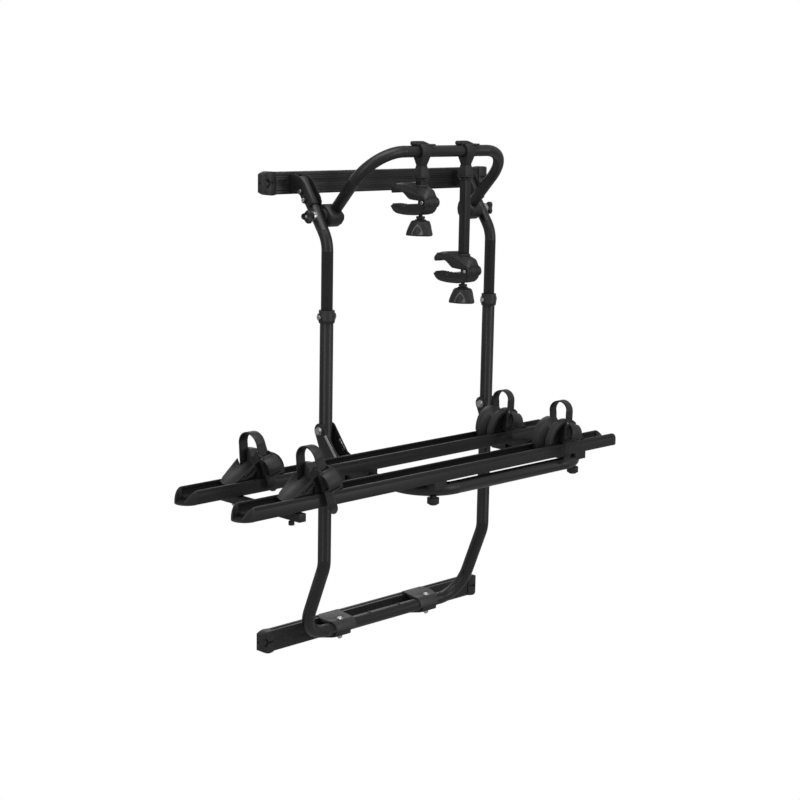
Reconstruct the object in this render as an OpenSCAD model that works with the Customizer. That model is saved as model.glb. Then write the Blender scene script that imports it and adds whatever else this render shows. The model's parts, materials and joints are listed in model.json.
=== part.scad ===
// Bike carrier for the back door of a van.
// Two mounting rails are screwed to the door. A tube frame hooks on the upper one, is clamped to
// the lower one, and carries a folding platform and a folding arch with two bike arms.
// X runs across the van, Y points into the van, Z points up.
// The origin is the middle of the lower mounting rail's back face.

/* [Mounting rails] */
// Length of each mounting rail, end caps included
mount_len = 824; // [760:2:1000]
// Height of a mounting rail
mount_h = 54; // [48:1:60]
// Depth of a mounting rail
mount_d = 22; // [20:1:26]
// Wall of a mounting rail
mount_wall = 2.4; // [2:0.2:3]
// Height of the upper mounting rail above the lower one
mount_rise = 1154; // [1130:2:1180]
// Width of the groove in a rail's edge
groove_w = 7; // [6:0.5:8]
// Depth of the groove in a rail's edge
groove_d = 9; // [7:0.5:10]
// Length of an end cap
cap_len = 52; // [44:1:60]
// How far an end cap stands proud of its rail
cap_proud = 2.2; // [1.6:0.2:3]
// Distance between the two screw holes in a rail
screw_span = 620; // [560:10:640]
// Radius of a screw hole
screw_r = 4.2; // [3.2:0.1:4.6]

/* [Frame tubes] */
// Distance between the two uprights
post_span = 584.6; // [576:0.2:590]
// Distance of the uprights from the van
post_off = 144; // [138:1:150]
// Diameter of the lower tube
lower_d = 33; // [32:0.5:34]
// Diameter of the upper tube that slides in it
upper_d = 29; // [28:0.5:29.5]
// Wall of the upper tube
tube_wall = 1.8; // [1.5:0.1:2]
// Height of the lower tube's bend
low_bend_z = 211; // [205:1:218]
// Height of the bottom run over the lower rail's middle
foot_z = 6.6; // [5:0.2:8]
// Gap between the bottom run and the rail
foot_gap = 24; // [22:0.5:26]
// Radius of the frame's lower corners
foot_corner = 78.6; // [72:0.2:84]
// Radius of a bend in an upright
bend_r = 80; // [74:1:86]
// Height of the upper bend below the upper rail's middle
top_bend_drop = 133; // [128:1:138]
// Distance of an upper tube's end from the van
top_end_off = 45; // [42:1:50]
// Height of an upper tube's end over the upper rail's middle
top_end_rise = 11; // [8:1:14]
// Length of upper tube held inside the lower one
insert_len = 185; // [170:5:200]
// Distance between the two clamps on the lower rail
clamp_span = 321.4; // [300:0.2:340]

/* [Height collars] */
// Height of the collars above the lower rail
collar_z = 838; // [820:2:860]
// Length of a collar
collar_len = 31; // [28:1:36]
// Diameter of a collar
collar_d = 39; // [38:0.5:42]

/* [Platform] */
// Height of the platform's pivots
pivot_z = 557; // [545:1:565]
// Height of the pivots over the platform tube
platform_drop = 93.6; // [90:0.2:97]
// Distance of the platform tube's front bar from the uprights
platform_reach = 354.4; // [346:0.4:362]
// Diameter of the platform tube
platform_d = 32; // [30:0.5:32.5]
// Wall of the platform tube
platform_wall = 2; // [1.6:0.1:2.4]
// Radius of the platform tube's corners
platform_corner = 90; // [84:1:96]
// Diameter of the pivot bolts
pivot_bolt_d = 10; // [8:1:12]
// Thickness of an arm's sheet
arm_sheet = 3; // [2.5:0.5:3.5]
// Lean of the arms' channels, forward of straight down
arm_lean = 38; // [36:0.5:40]

/* [Wheel rails] */
// Length of a wheel rail over its noses
rail_len = 1292; // [1240:2:1340]
// Width of a wheel rail
rail_w = 58.6; // [56:0.2:62]
// Height of a wheel rail
rail_h = 31.6; // [30:0.2:34]
// Wall of a wheel rail
rail_wall = 2.2; // [1.8:0.1:2.6]
// Sideways shift of the rails from the frame's middle
rail_shift = -222; // [-240:2:-120]
// Distance between the two wheel rails
rail_spacing = 194.2; // [188:0.2:200]
// Distance of the front wheel rail behind the platform's front bar
rail_inset = 18.2; // [16:0.2:20]
// Gap between the platform tube and the rails
saddle_t = 7; // [6:0.5:9]
// Length of a nose
nose_len = 44; // [40:1:50]
// Place of the cross brace, from the rails' middle
brace_off = 475; // [460:1:490]

/* [Wheel holders] */
// Distance of the holders from the rails' middle
holder_half = 426; // [410:2:436]
// Width of a holder over the rail
holder_w = 60; // [56:1:62]
// Height of a holder's inner ramp over the rail
ramp_h = 64; // [58:1:68]
// Height of a holder's outer ramp over the rail
outer_h = 45; // [42:1:48]
// Width of a strap
strap_w = 24; // [20:1:26]
// Thickness of a strap
strap_t = 3.2; // [2.8:0.2:3.6]
// Height of a strap's loop over the rail
strap_h = 104; // [98:1:110]

/* [Arch] */
// Distance of the arch's legs inside the uprights, axis to axis
arch_inset = 47.8; // [46:0.2:50]
// Length of the arch's legs, from their pivots to the bar
arch_leg = 216; // [206:1:226]
// Lean of the arch, forward of upright
arch_lean = 42.9; // [40:0.1:46]
// Diameter of the arch tube
arch_d = 28.5; // [27:0.5:30]
// Radius of the arch's corners
arch_corner = 98; // [90:1:104]
// Distance of the arch's pivots up the tube from its bend
arch_pivot_run = 69; // [64:1:72]

/* [Bike arms] */
// Place of the short arm
short_x = -84.2; // [-110:0.2:-80]
// Place of the long arm
long_x = 73.6; // [54:0.2:80]
// Height of the short arm's jaw hinge below the arch bar
short_drop = 122; // [120:1:130]
// Height of the long arm's jaw hinge below the arch bar
long_drop = 298.6; // [280:0.2:310]
// Width of the arms' square tube
arm_tube = 20; // [18:1:22]
// Width of the jaws
jaw_w = 42; // [38:1:44]
// Diameter of a grip knob
grip_d = 67; // [60:1:70]

/* [Hidden] */
$fn = 64;
// Clearance between pieces that move on each other, and between pieces that don't
run_gap = 0.3;
seat_gap = 0.1;
// Mark round a tube where a bend starts and ends
bend_mark_t = 0.1;
bend_mark_w = 1;
// Derived places of the frame
post_x = post_span / 2;
arch_span = post_span - 2 * arch_inset;
foot_y = -(mount_d + foot_gap + lower_d / 2);
low_slant = atan((post_off + foot_y) / (low_bend_z - foot_z));
low_run = norm([post_off + foot_y, low_bend_z - foot_z]);
low_tan = bend_r * tan(low_slant / 2);
upper_bend_z = mount_rise - top_bend_drop;
top_slant = atan((post_off - top_end_off) / (top_bend_drop + top_end_rise));
top_run = norm([post_off - top_end_off, top_bend_drop + top_end_rise]);
top_tan = bend_r * tan(top_slant / 2);
lower_bore = upper_d / 2 + run_gap;
upper_low_z = collar_z - insert_len;
arch_pivot_y = -post_off + arch_pivot_run * sin(top_slant);
arch_pivot_z = upper_bend_z + arch_pivot_run * cos(top_slant);
bar_y = arch_pivot_y - arch_leg * sin(arch_lean);
bar_z = arch_pivot_z + arch_leg * cos(arch_lean);
lower_end_z = collar_z - 5;
clamp_bolt_r = 4;
clamp_half = clamp_span / 2;
// Derived places of the platform
tube_z = pivot_z - platform_drop;
front_bar_y = -post_off - platform_reach;
rail_z = tube_z + platform_d / 2 + saddle_t;
rail_top = rail_z + rail_h;
front_rail_y = front_bar_y + rail_inset;
back_rail_y = front_rail_y + rail_spacing;
RAIL_Y = [front_rail_y, back_rail_y];
// Where the front rail's middle crosses the tube's corners
corner_dy = platform_corner - rail_inset;
knob_x = post_x - platform_corner + sqrt(platform_corner * platform_corner - corner_dy * corner_dy);
leg_end_y = -post_off - 44;
// T-slot under a wheel rail
slot_open = 9;
slot_w = 18;
slot_h = 6;
slot_lip = 2.4;
floor_z = slot_lip + slot_h + rail_wall;
tbolt_d = 8;
// Holder details
trench_w = rail_w - 2 * rail_wall - 4.4;
holder_gap = 0.4;
slot_floor = 6;
near_tilt = 13;
near_lean = 9.2;
loop_r = 25.5;
leg_far_y = 22;
leg_near_y = leg_far_y - 2 * loop_r;
LEG_RUN = [126, 110];
buckle_w = strap_w + 12;
buckle_top = 22;
buckle_len = 46;
loop_z = rail_top + strap_h - loop_r - strap_t / 2;

// A block between two corners
module block(a, b) {
    translate(a) cube(b - a);
}

// A cylinder along X, from x0 to x1
module rod_x(r, x0, x1) {
    translate([x0, 0, 0]) rotate([0, 90, 0]) cylinder(r = r, h = x1 - x0);
}

// A cylinder along Y, from y0 to y1
module rod_y(r, y0, y1) {
    translate([0, y1, 0]) rotate([90, 0, 0]) cylinder(r = r, h = y1 - y0);
}

// A hexagon bar along Z
module hex(across, h) {
    cylinder(d = across / cos(30), h = h, $fn = 6);
}

// A YZ outline drawn as [y, z], carried along X from x0 to x1
module along_x(x0, x1) {
    translate([x0, 0, 0]) rotate([90, 0, 90]) linear_extrude(x1 - x0) children();
}

// An XZ outline drawn as [x, z], carried along Y from y0 to y1
module along_y(y0, y1) {
    translate([0, y1, 0]) rotate([90, 0, 0]) linear_extrude(y1 - y0) children();
}

// A square with round corners
module round_square(size, r) {
    offset_x = size.x / 2 - r;
    offset_y = size.y / 2 - r;
    square([size.x, size.y - 2 * r], center = true);
    square([size.x - 2 * r, size.y], center = true);
    for (x = [-offset_x, offset_x], y = [-offset_y, offset_y]) translate([x, y]) circle(r = r, $fn = 32);
}

// Points of an arc, for outlines
function arc(c, r, a0, a1, n = 10) =
    [for (i = [0:n]) c + r * [cos(a0 + (a1 - a0) * i / n), sin(a0 + (a1 - a0) * i / n)]];

// A straight stretch of tube along +Z
module straight(r, bore, h) {
    difference() {
        cylinder(r = r, h = h);
        translate([0, 0, -1]) cylinder(r = bore, h = h + 2);
    }
}

// The mark that a bending tool leaves round a tube at z = 0
module bend_mark(r, bore) {
    translate([0, 0, -bend_mark_w / 2]) difference() {
        cylinder(r = r + bend_mark_t, h = bend_mark_w);
        translate([0, 0, -1]) cylinder(r = bore - bend_mark_t, h = bend_mark_w + 2);
    }
}

// One bend of a tube, from +Z towards +X, at radius R, with a mark at both ends
module bend(r, bore, R, a) {
    bend_mark(r, bore);
    translate([R, 0, 0]) rotate([0, a, 0]) translate([-R, 0, 0]) bend_mark(r, bore);
    translate([R, 0, 0]) rotate([90, 0, 180]) rotate_extrude(angle = a) translate([R, 0]) difference() {
        circle(r = r);
        circle(r = bore);
    }
}

// A tube that follows steps of [straight, bend radius, bend angle, roll before the bend]
module bent_tube(steps, r, bore, i = 0) {
    s = steps[i];
    straight(r, bore, s[0]);
    if (i < len(steps) - 1) {
        translate([0, 0, s[0]]) rotate([0, 0, s[3]]) {
            bend(r, bore, s[1], s[2]);
            translate([s[1], 0, 0]) rotate([0, s[2], 0]) translate([-s[1], 0, 0])
                bent_tube(steps, r, bore, i + 1);
        }
    }
}

// Bolt with a domed head: the head lies below z = 0, the shank runs up to h
module domed_bolt(r, head_r, head_h, h) {
    cylinder(r = r, h = h);
    translate([0, 0, -head_h * 0.4]) cylinder(r = head_r, h = head_h * 0.4);
    translate([0, 0, -head_h]) cylinder(r1 = head_r * 0.6, r2 = head_r, h = head_h * 0.6, $fn = 48);
}

// Section of a mounting rail: a hollow bar with a groove in its top and bottom edges
module mount_section() {
    inner_h = mount_h / 2 - groove_d - mount_wall;
    difference() {
        translate([-mount_d, -mount_h / 2]) square([mount_d, mount_h]);
        for (m = [0, 1]) mirror([0, m]) {
            translate([-mount_d / 2 - groove_w / 2, mount_h / 2 - groove_d])
                square([groove_w, groove_d + 1]);
            // Side hollows beside the groove
            translate([-mount_d / 2, 0]) for (s = [-1, 1])
                translate([s * (mount_d / 4 + groove_w / 4) - 1, inner_h + 4])
                    square([2, groove_d - 4]);
        }
        translate([-mount_d + mount_wall, -inner_h]) square([mount_d - 2 * mount_wall, 2 * inner_h]);
        // Shallow flutes in the front face
        for (z = [-18:6:18]) translate([-mount_d - 0.3, z - 1]) square([1, 2]);
    }
}

module mount_bar() {
    bar_half = mount_len / 2 - cap_len;
    difference() {
        along_x(-bar_half, bar_half) mount_section();
        for (s = [-1, 1]) translate([s * screw_span / 2, 0, 0]) {
            rod_y(screw_r, -mount_wall * 2, 1);
            rod_y(screw_r * 2, -mount_d - 1, -mount_d / 2);
        }
    }
}

// End cap with its spigot in the rail's hollow and a forked recess in its front
module mount_cap() {
    x0 = mount_len / 2 - cap_len;
    x1 = mount_len / 2;
    h = mount_h / 2 + cap_proud;
    depth = mount_d + 2 * cap_proud;
    inner_h = mount_h / 2 - groove_d - mount_wall;
    difference() {
        union() {
            intersection() {
                along_y(-depth, 0) translate([x0, -h]) square([cap_len, 2 * h]);
                along_y(-depth - 1, 1) translate([x0, 0]) intersection() {
                    translate([cap_len - 2 * h, 0]) round_square([4 * h, 2 * h], 6);
                    translate([0, -h]) square([cap_len, 2 * h]);
                }
                translate([x1 - 60, -depth / 2, -h - 1]) linear_extrude(2 * h + 2)
                    round_square([120, depth], 5);
            }
            block([x0 - 14, -mount_d + mount_wall + seat_gap, -inner_h + seat_gap],
                [x0, -mount_wall - seat_gap, inner_h - seat_gap]);
        }
        // Recess shaped like a fork, opening to the front
        translate([x0 + 26, -depth, 0]) for (a = [90, 215, 325])
            rotate([0, a, 0]) block([0, -1, -3], [17, 4, 3]);
        translate([x0 + 26, 0, 0]) rod_y(5, -depth - 1, -depth + 4);
        translate([0, -mount_d / 2, 0]) rod_x(3, x1 - 6, x1 + 1);
    }
}

module rail_caps() {
    for (m = [0, 1]) mirror([m, 0, 0]) mount_cap();
}

// Lower frame: one tube from collar to collar, through the bottom run
module lower_frame() {
    bolt_hole = pivot_bolt_d / 2 + seat_gap;
    leg = lower_end_z - low_bend_z - low_tan;
    slant_leg = low_run - low_tan - foot_corner;
    steps = [[leg, bend_r, low_slant, -90], [slant_leg, foot_corner, 90, 90],
        [post_span - 2 * foot_corner, foot_corner, 90, 0], [slant_leg, bend_r, low_slant, -90],
        [leg, 0, 0, 0]];
    color("#1b1b1d") difference() {
        translate([-post_x, -post_off, lower_end_z]) rotate([180, 0, 0])
            bent_tube(steps, lower_d / 2, lower_bore);
        for (s = [-1, 1]) translate([s * post_x, -post_off, pivot_z])
            rod_x(bolt_hole, -lower_d, lower_d);
        for (s = [-1, 1]) translate([s * clamp_half, foot_y, foot_z - lower_d])
            cylinder(r = clamp_bolt_r + seat_gap, h = 2 * lower_d);
        // Rivet holes in the bottom run
        for (x = [-55, 55]) translate([x, foot_y, foot_z]) cylinder(r = 2.6, h = lower_d);
    }
    color("#2a2a2c") for (x = [-55, 55]) translate([x, foot_y, foot_z]) {
        translate([0, 0, lower_d / 2 - 3]) cylinder(r = 2.5, h = 3.4);
        translate([0, 0, lower_d / 2 + 0.2]) cylinder(r1 = 4.5, r2 = 2.5, h = 1.8, $fn = 32);
    }
}

// Collar that grips the upper tube where it enters the lower one
module height_collars() {
    color("#161617") for (s = [-1, 1]) translate([s * post_x, -post_off, collar_z]) difference() {
        union() {
            translate([0, 0, -collar_len / 2]) cylinder(d = collar_d, h = collar_len);
            translate([0, 0, -collar_len / 2 + 4]) cylinder(d = collar_d + 1.6, h = 4);
            block([-collar_d / 2 - 4, -8, -8], [0, 8, 8]);
            block([0, -8, -8], [collar_d / 2 + 3, 8, 8]);
        }
        translate([0, 0, -collar_len]) cylinder(r = lower_d / 2 + seat_gap,
            h = lower_end_z - collar_z + collar_len + seat_gap);
        translate([0, 0, -collar_len]) cylinder(r = lower_bore, h = 2 * collar_len);
        rod_x(3 + seat_gap, -collar_d, 0);
        rod_x(3 + seat_gap, 0, collar_d);
    }
}

// Set screws that press on the upper tube: a hex head outside on each side of a collar
module collar_bolts() {
    color("silver") for (s = [-1, 1]) translate([s * post_x, -post_off, collar_z])
        for (m = [0, 1]) mirror([m, 0, 0]) {
            seat = collar_d / 2 + (m == 0 ? 3 : 4);
            rod_x(3, upper_d / 2 + run_gap, seat + 1);
            translate([seat, 0, 0]) rotate([0, 90, 0]) hex(11, 4.4);
        }
}

// Plate over the bottom run, hooked in the lower rail's groove
module rail_clamp_plates() {
    wrap = lower_d / 2 + seat_gap;
    top = foot_z + lower_d / 2;
    groove_y = -mount_d / 2;
    color("#8e9092") for (s = [-1, 1]) translate([s * clamp_half, 0, 0]) mirror([s < 0 ? 0 : 1, 0, 0])
        difference() {
            union() {
                // Sloping top, from the groove down over the tube's front
                intersection() {
                    along_x(-40, 40) polygon(concat(
                        [[groove_y - 2.5, mount_h / 2 - groove_d + 2],
                        [groove_y + 2.5, mount_h / 2 - groove_d + 2],
                        [groove_y + 2.5, mount_h / 2 + 4], [groove_y, mount_h / 2 + 6],
                        [foot_y + 18, top + 6], [foot_y, top + 3.6]],
                        arc([foot_y, foot_z], wrap + 4, 95, 190, 12),
                        [[foot_y - wrap, foot_z], [foot_y - wrap, foot_z + 1]],
                        arc([foot_y, foot_z], wrap, 176, 60, 12),
                        [[foot_y + 20, top - 2], [-mount_d - 3, mount_h / 2 + 0.5],
                        [groove_y - 2.5, mount_h / 2 + 0.5]]));
                    translate([0, -92, -60]) linear_extrude(140)
                        polygon([[-40, 46], [-28, 12], [-20, 0], [36, 0], [40, 6], [40, 84],
                            [-26, 84], [-40, 66]]);
                }
            }
            translate([0, foot_y, foot_z]) cylinder(r = clamp_bolt_r + seat_gap, h = 40);
            translate([0, foot_y, clamp_seat_top]) cylinder(r = 9.6, h = 20);
        }
}

// Lower half of the clamp, under the bottom run and in the rail's lower groove
module rail_clamp_jaws() {
    wrap = lower_d / 2 + seat_gap;
    low = foot_z - lower_d / 2;
    groove_y = -mount_d / 2;
    color("#1a1a1b") for (s = [-1, 1]) translate([s * clamp_half, 0, 0]) difference() {
        along_x(-26, 26) polygon(concat(
            arc([foot_y, foot_z], wrap, 200, 340, 14),
            [[foot_y + 20, low], [-mount_d - seat_gap, low - 4],
            [-mount_d - seat_gap, -mount_h / 2 - 0.5], [groove_y - 2.5, -mount_h / 2 - 0.5],
            [groove_y - 2.5, -mount_h / 2 + groove_d - 2], [groove_y + 2.5, -mount_h / 2 + groove_d - 2],
            [groove_y + 2.5, -mount_h / 2 - 5], [foot_y, low - 9], [foot_y - 14, low - 4]]));
        translate([0, foot_y, low - 20]) cylinder(r = clamp_bolt_r + seat_gap, h = 40);
        translate([0, foot_y, clamp_seat_low - 20]) cylinder(r = 9.6, h = 20);
        for (x = [-16, 16]) translate([x, foot_y + 26, low - 30]) cylinder(r = 2.5, h = 24);
    }
}

// Long bolt through plate, tube and jaw, with a domed head on top and a nut below
clamp_seat_top = foot_z + lower_d / 2 + 3.6;
clamp_seat_low = foot_z - lower_d / 2 - 7;

module rail_clamp_bolts() {
    color("silver") for (s = [-1, 1]) translate([s * clamp_half, foot_y, 0]) {
        translate([0, 0, clamp_seat_top + seat_gap]) mirror([0, 0, 1])
            domed_bolt(clamp_bolt_r, 9, 5, clamp_seat_top - clamp_seat_low + 9);
        translate([0, 0, clamp_seat_low - 6.1]) hex(13, 6);
    }
}

// Pivot bolts of the platform, each through its upright: head and washer on the left
module pivot_bolts() {
    head_x = lower_d / 2 + 3.7;
    color("silver") for (s = [-1, 1]) translate([s * post_x, -post_off, pivot_z]) {
        rod_x(pivot_bolt_d / 2, -head_x - 3, head_x + 8);
        rod_x(10, -head_x - 2.2, -head_x - 0.3);
        translate([-head_x - 8.6, 0, 0]) rotate([0, 90, 0]) hex(16, 6.4);
        translate([head_x + 0.3, 0, 0]) rotate([0, 90, 0]) hex(16, 7);
    }
}

module top_rail() {
    color("#202022") translate([0, 0, mount_rise]) mount_bar();
}

module bottom_rail() {
    color("#202022") mount_bar();
}

module top_rail_caps() {
    color("#161617") translate([0, 0, mount_rise]) rail_caps();
}

module bottom_rail_caps() {
    color("#161617") rail_caps();
}

// Upper tube on side s, from inside the lower tube up to its open end at the upper rail
module upper_tube(s) {
    leg = upper_bend_z - upper_low_z - top_tan;
    steps = [[leg, bend_r, top_slant, 90], [top_run - top_tan, 0, 0, 0]];
    color("#1b1b1d") difference() {
        translate([s * post_x, -post_off, upper_low_z])
            bent_tube(steps, upper_d / 2, upper_d / 2 - tube_wall);
        on_slant(s) {
            translate([0, 0, arch_pivot_run]) rod_x(4 + seat_gap, -upper_d, upper_d);
            for (z = HOOK_BOLTS) translate([0, 0, z]) rod_x(3 + seat_gap, -upper_d, upper_d);
        }
    }
}

// Frame of the slanted upper tube on side s: Z runs up the tube from its bend
module on_slant(s) {
    translate([s * post_x, -post_off, upper_bend_z]) rotate([-top_slant, 0, 0]) children();
}

HOOK_BOLTS = [top_run - 36, top_run - 60];

module upper_tube_left() {
    upper_tube(-1);
}

module upper_tube_right() {
    upper_tube(1);
}

// Sheet hook round the tube's front, with side plates that run over the upper rail
module hook(s) {
    side_in = upper_d / 2 + 3;
    side_out = side_in + 2.5;
    top = mount_rise + mount_h / 2;
    groove_y = -mount_d / 2;
    color("#1a1a1b") {
        difference() {
            intersection() {
                // Outline of the side plates
                translate([s * post_x, 0, 0]) along_x(-side_out, side_out) polygon(concat(
                    [[-post_off + 24, upper_bend_z + 78], [-post_off + 46, upper_bend_z + 68],
                    [-mount_d - 22, mount_rise + 4], [-mount_d - 1, mount_rise + 16],
                    [-mount_d - 1, top + 0.5], [groove_y - 2.5, top + 0.5],
                    [groove_y - 2.5, top - groove_d + 2], [groove_y + 2.5, top - groove_d + 2],
                    [groove_y + 2.5, top + 2]],
                    arc([groove_y - 16, top - 4], 19, 20, 100, 8),
                    [[-post_off + 52, mount_rise + 6]]));
                translate([s * post_x - 60, -post_off - 60, upper_bend_z + 60]) cube([120, 200, 260]);
            }
            // Room between the plates, open towards the rail's front
            on_slant(s) {
                translate([0, 0, -20]) cylinder(r = upper_d / 2 + seat_gap, h = top_run + 60);
                block([-side_in, 0, -20], [side_in, 120, top_run + 60]);
                translate([0, 0, arch_pivot_run]) rod_x(31, -60, 60);
                for (z = HOOK_BOLTS) translate([0, 0, z]) rod_x(3 + seat_gap, -60, 60);
            }
        }
    }
}

module hook_left() {
    hook(-1);
}

module hook_right() {
    hook(1);
}

// Two bolts through each hook and its tube
module hook_bolts() {
    reach = upper_d / 2 + 5.7;
    color("silver") for (s = [-1, 1]) on_slant(s) for (z = HOOK_BOLTS) translate([0, 0, z]) {
        rod_x(3, -reach, reach + 5);
        translate([-reach - 3, 0, 0]) rotate([0, 90, 0]) hex(10, 3);
        translate([reach, 0, 0]) rotate([0, 90, 0]) hex(10, 4.4);
    }
}

// Arch pivots: bolts through the upper tubes
knuckle_out = post_x - upper_d / 2 - run_gap;
socket_r = arch_d / 2 + 3.6;
knuckle_in = arch_span / 2 - socket_r;
knob_seat = post_x + upper_d / 2 + 4;

module arch_bolts() {
    color("silver") for (s = [-1, 1]) mirror([s < 0 ? 1 : 0, 0, 0])
        translate([0, arch_pivot_y, arch_pivot_z]) {
            rod_x(4, knuckle_in - 1, knob_seat + 16);
            rod_x(8, knuckle_in - 5, knuckle_in - run_gap);
            // Saddle washer on the tube's outer side
            difference() {
                rod_x(13, post_x, knob_seat - run_gap);
                rotate([-top_slant, 0, 0]) translate([post_x, 0, -30])
                    cylinder(r = upper_d / 2 + seat_gap, h = 60);
            }
        }
}

// Arch tube on its two pivots, leaning forward
module in_arch() {
    translate([0, arch_pivot_y, arch_pivot_z]) rotate([arch_lean, 0, 0]) children();
}

module arch_tube() {
    start = 18;
    steps = [[arch_leg - arch_corner - start, arch_corner, 90, 0],
        [arch_span - 2 * arch_corner, arch_corner, 90, 0],
        [arch_leg - arch_corner - start, 0, 0, 0]];
    color("#1b1b1d") in_arch() translate([-arch_span / 2, 0, start])
        bent_tube(steps, arch_d / 2, arch_d / 2 - tube_wall);
}

// Knuckle: a round hub on the pivot, with a socket for the arch's end
module arch_knuckle(s) {
    color("#161617") mirror([s < 0 ? 1 : 0, 0, 0]) in_arch() difference() {
        union() {
            rod_x(27, knuckle_in, knuckle_out);
            translate([arch_span / 2, 0, 0]) cylinder(r = socket_r, h = 42);
            block([arch_span / 2, -18, 0], [knuckle_out, 18, 20]);
        }
        translate([arch_span / 2, 0, 17]) cylinder(r = arch_d / 2 + seat_gap, h = 40);
        rod_x(4 + run_gap, knuckle_in - 1, knuckle_out + 1);
    }
}

module arch_knuckle_left() {
    arch_knuckle(-1);
}

module arch_knuckle_right() {
    arch_knuckle(1);
}

// A knob of three lobes on a hub, along +Z
module lobed_knob(d, h, bore, lobes = 3) {
    lobe_r = d * 0.17;
    difference() {
        union() {
            cylinder(d = d * 0.62, h = h);
            for (i = [0:lobes - 1]) rotate([0, 0, i * 360 / lobes]) {
                translate([d / 2 - lobe_r, 0, 0]) cylinder(r = lobe_r, h = h);
                translate([0, -lobe_r * 0.8, 0]) cube([d / 2 - lobe_r, lobe_r * 1.6, h]);
            }
            translate([0, 0, -3]) cylinder(d = d * 0.42, h = 4);
        }
        translate([0, 0, -4]) cylinder(r = bore, h = h - 1);
    }
}

module arch_knob(s) {
    color("#161617") mirror([s < 0 ? 1 : 0, 0, 0])
        translate([knob_seat + 3, arch_pivot_y, arch_pivot_z]) rotate([0, 90, 0])
            lobed_knob(42, 20, 4 + run_gap);
}

module arch_knob_left() {
    arch_knob(-1);
}

module arch_knob_right() {
    arch_knob(1);
}

// Platform tube: two legs and the front bar
module platform_tube() {
    leg = -front_bar_y + leg_end_y - platform_corner;
    steps = [[leg, platform_corner, 90, 0], [post_span - 2 * platform_corner, platform_corner, 90, 0],
        [leg, 0, 0, 0]];
    bolt_hole = tbolt_d / 2 + seat_gap;
    color("#1b1b1d") difference() {
        translate([-post_x, leg_end_y, tube_z]) rotate([90, 0, 0])
            bent_tube(steps, platform_d / 2, platform_d / 2 - platform_wall);
        for (s = [-1, 1]) {
            translate([s * knob_x, front_rail_y, tube_z - platform_d]) cylinder(r = bolt_hole, h = 60);
            translate([s * post_x, back_rail_y, tube_z - platform_d]) cylinder(r = bolt_hole, h = 60);
        }
    }
}

// Outline of an arm's side plate about its pivot, as [y, z]
module arm_outline() {
    low = -platform_drop - platform_d / 2 - 4;
    polygon(concat(arc([0, 0], 19, -40, 150, 16),
        [[-19, 6], [-60, -46], [-76, -54], [-92, -platform_drop + platform_d / 2 + 2], [-92, low],
        [-44, low], [-26, -72], [-6, -60]]));
}

// Platform arm: a pressed channel round the upright, open to the front
module platform_arm(s) {
    side = platform_d / 2 + 1;
    low = -platform_drop - platform_d / 2 - 4;
    front = -lower_d / 2 - run_gap;
    color("#1a1a1b") translate([s * post_x, -post_off, pivot_z]) difference() {
        along_x(-side - arm_sheet, side + arm_sheet) arm_outline();
        // Room for the upright, open to the front and top
        along_x(-side, side) polygon([[40, 40], [40, low - 20], [front, low - 20], [front, -63],
            [front - 8, -68], [-40, low + arm_sheet], [-100, low + arm_sheet], [-100, 40]]);
        rod_x(pivot_bolt_d / 2 + run_gap, -60, 60);
        // Long slot in each side plate
        rotate([-arm_lean - 2, 0, 0]) for (m = [-1, 1]) {
            x = m * (side + arm_sheet / 2);
            block([x - arm_sheet, -13, -66], [x + arm_sheet, -6, -20]);
            for (z = [-66, -20]) translate([x, -9.5, z]) rod_x(3.5, -arm_sheet, arm_sheet);
        }
    }
    // Leg sleeve: blocks that hold the tube between the plates
    color("#1a1a1b") translate([s * post_x, -post_off, pivot_z]) for (m = [-1, 1]) difference() {
        block([min(m * 6, m * (side + 0.5)), -90, -platform_drop - platform_d / 2 - 1],
            [max(m * 6, m * (side + 0.5)), -48, -platform_drop - platform_d / 2 + 3]);
        translate([0, -20, -platform_drop]) rod_y(platform_d / 2 + seat_gap, -100, 0);
    }
}

module platform_arm_left() {
    platform_arm(-1);
}

module platform_arm_right() {
    platform_arm(1);
}

// Bare strips behind the arms' slots
module lock_strips() {
    side = platform_d / 2 + 1;
    color("#b4b6b8") for (s = [-1, 1], m = [-1, 1])
        translate([s * post_x, -post_off, pivot_z]) rotate([-arm_lean - 2, 0, 0])
            translate([m * side, 0, 0]) block([m < 0 ? 0.1 : -1.6, -15, -66], [m < 0 ? 1.6 : -0.1, -6.5, -36]);
}

// Saddles between the platform tube and the wheel rails
module saddles() {
    r = platform_d / 2 + seat_gap;
    color("#161617") for (s = [-1, 1]) {
        difference() {
            translate([s * knob_x, front_rail_y, tube_z + 4]) linear_extrude(platform_d / 2 + saddle_t - 4)
                round_square([44, 50], 5);
            translate([s * (post_x - platform_corner), front_bar_y + platform_corner, tube_z])
                rotate_extrude() translate([platform_corner, 0]) circle(r = r);
            translate([s * knob_x, front_rail_y, tube_z]) cylinder(r = tbolt_d / 2 + seat_gap, h = 60);
        }
        difference() {
            translate([s * post_x, back_rail_y, tube_z + 4]) linear_extrude(platform_d / 2 + saddle_t - 4)
                round_square([40, 50], 5);
            translate([s * post_x, back_rail_y, tube_z]) rod_y(r, -40, 40);
            translate([s * post_x, back_rail_y, tube_z]) cylinder(r = tbolt_d / 2 + seat_gap, h = 60);
        }
    }
}

// T-bolt whose head lies in a rail's slot; z0 is where the shank ends below
module t_bolt(z0) {
    head_z = rail_z + slot_lip + run_gap;
    translate([0, 0, z0]) cylinder(d = tbolt_d, h = head_z - z0 + 1);
    translate([0, 0, head_z]) linear_extrude(slot_h - 2 * run_gap) square([13, 15], center = true);
}

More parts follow.
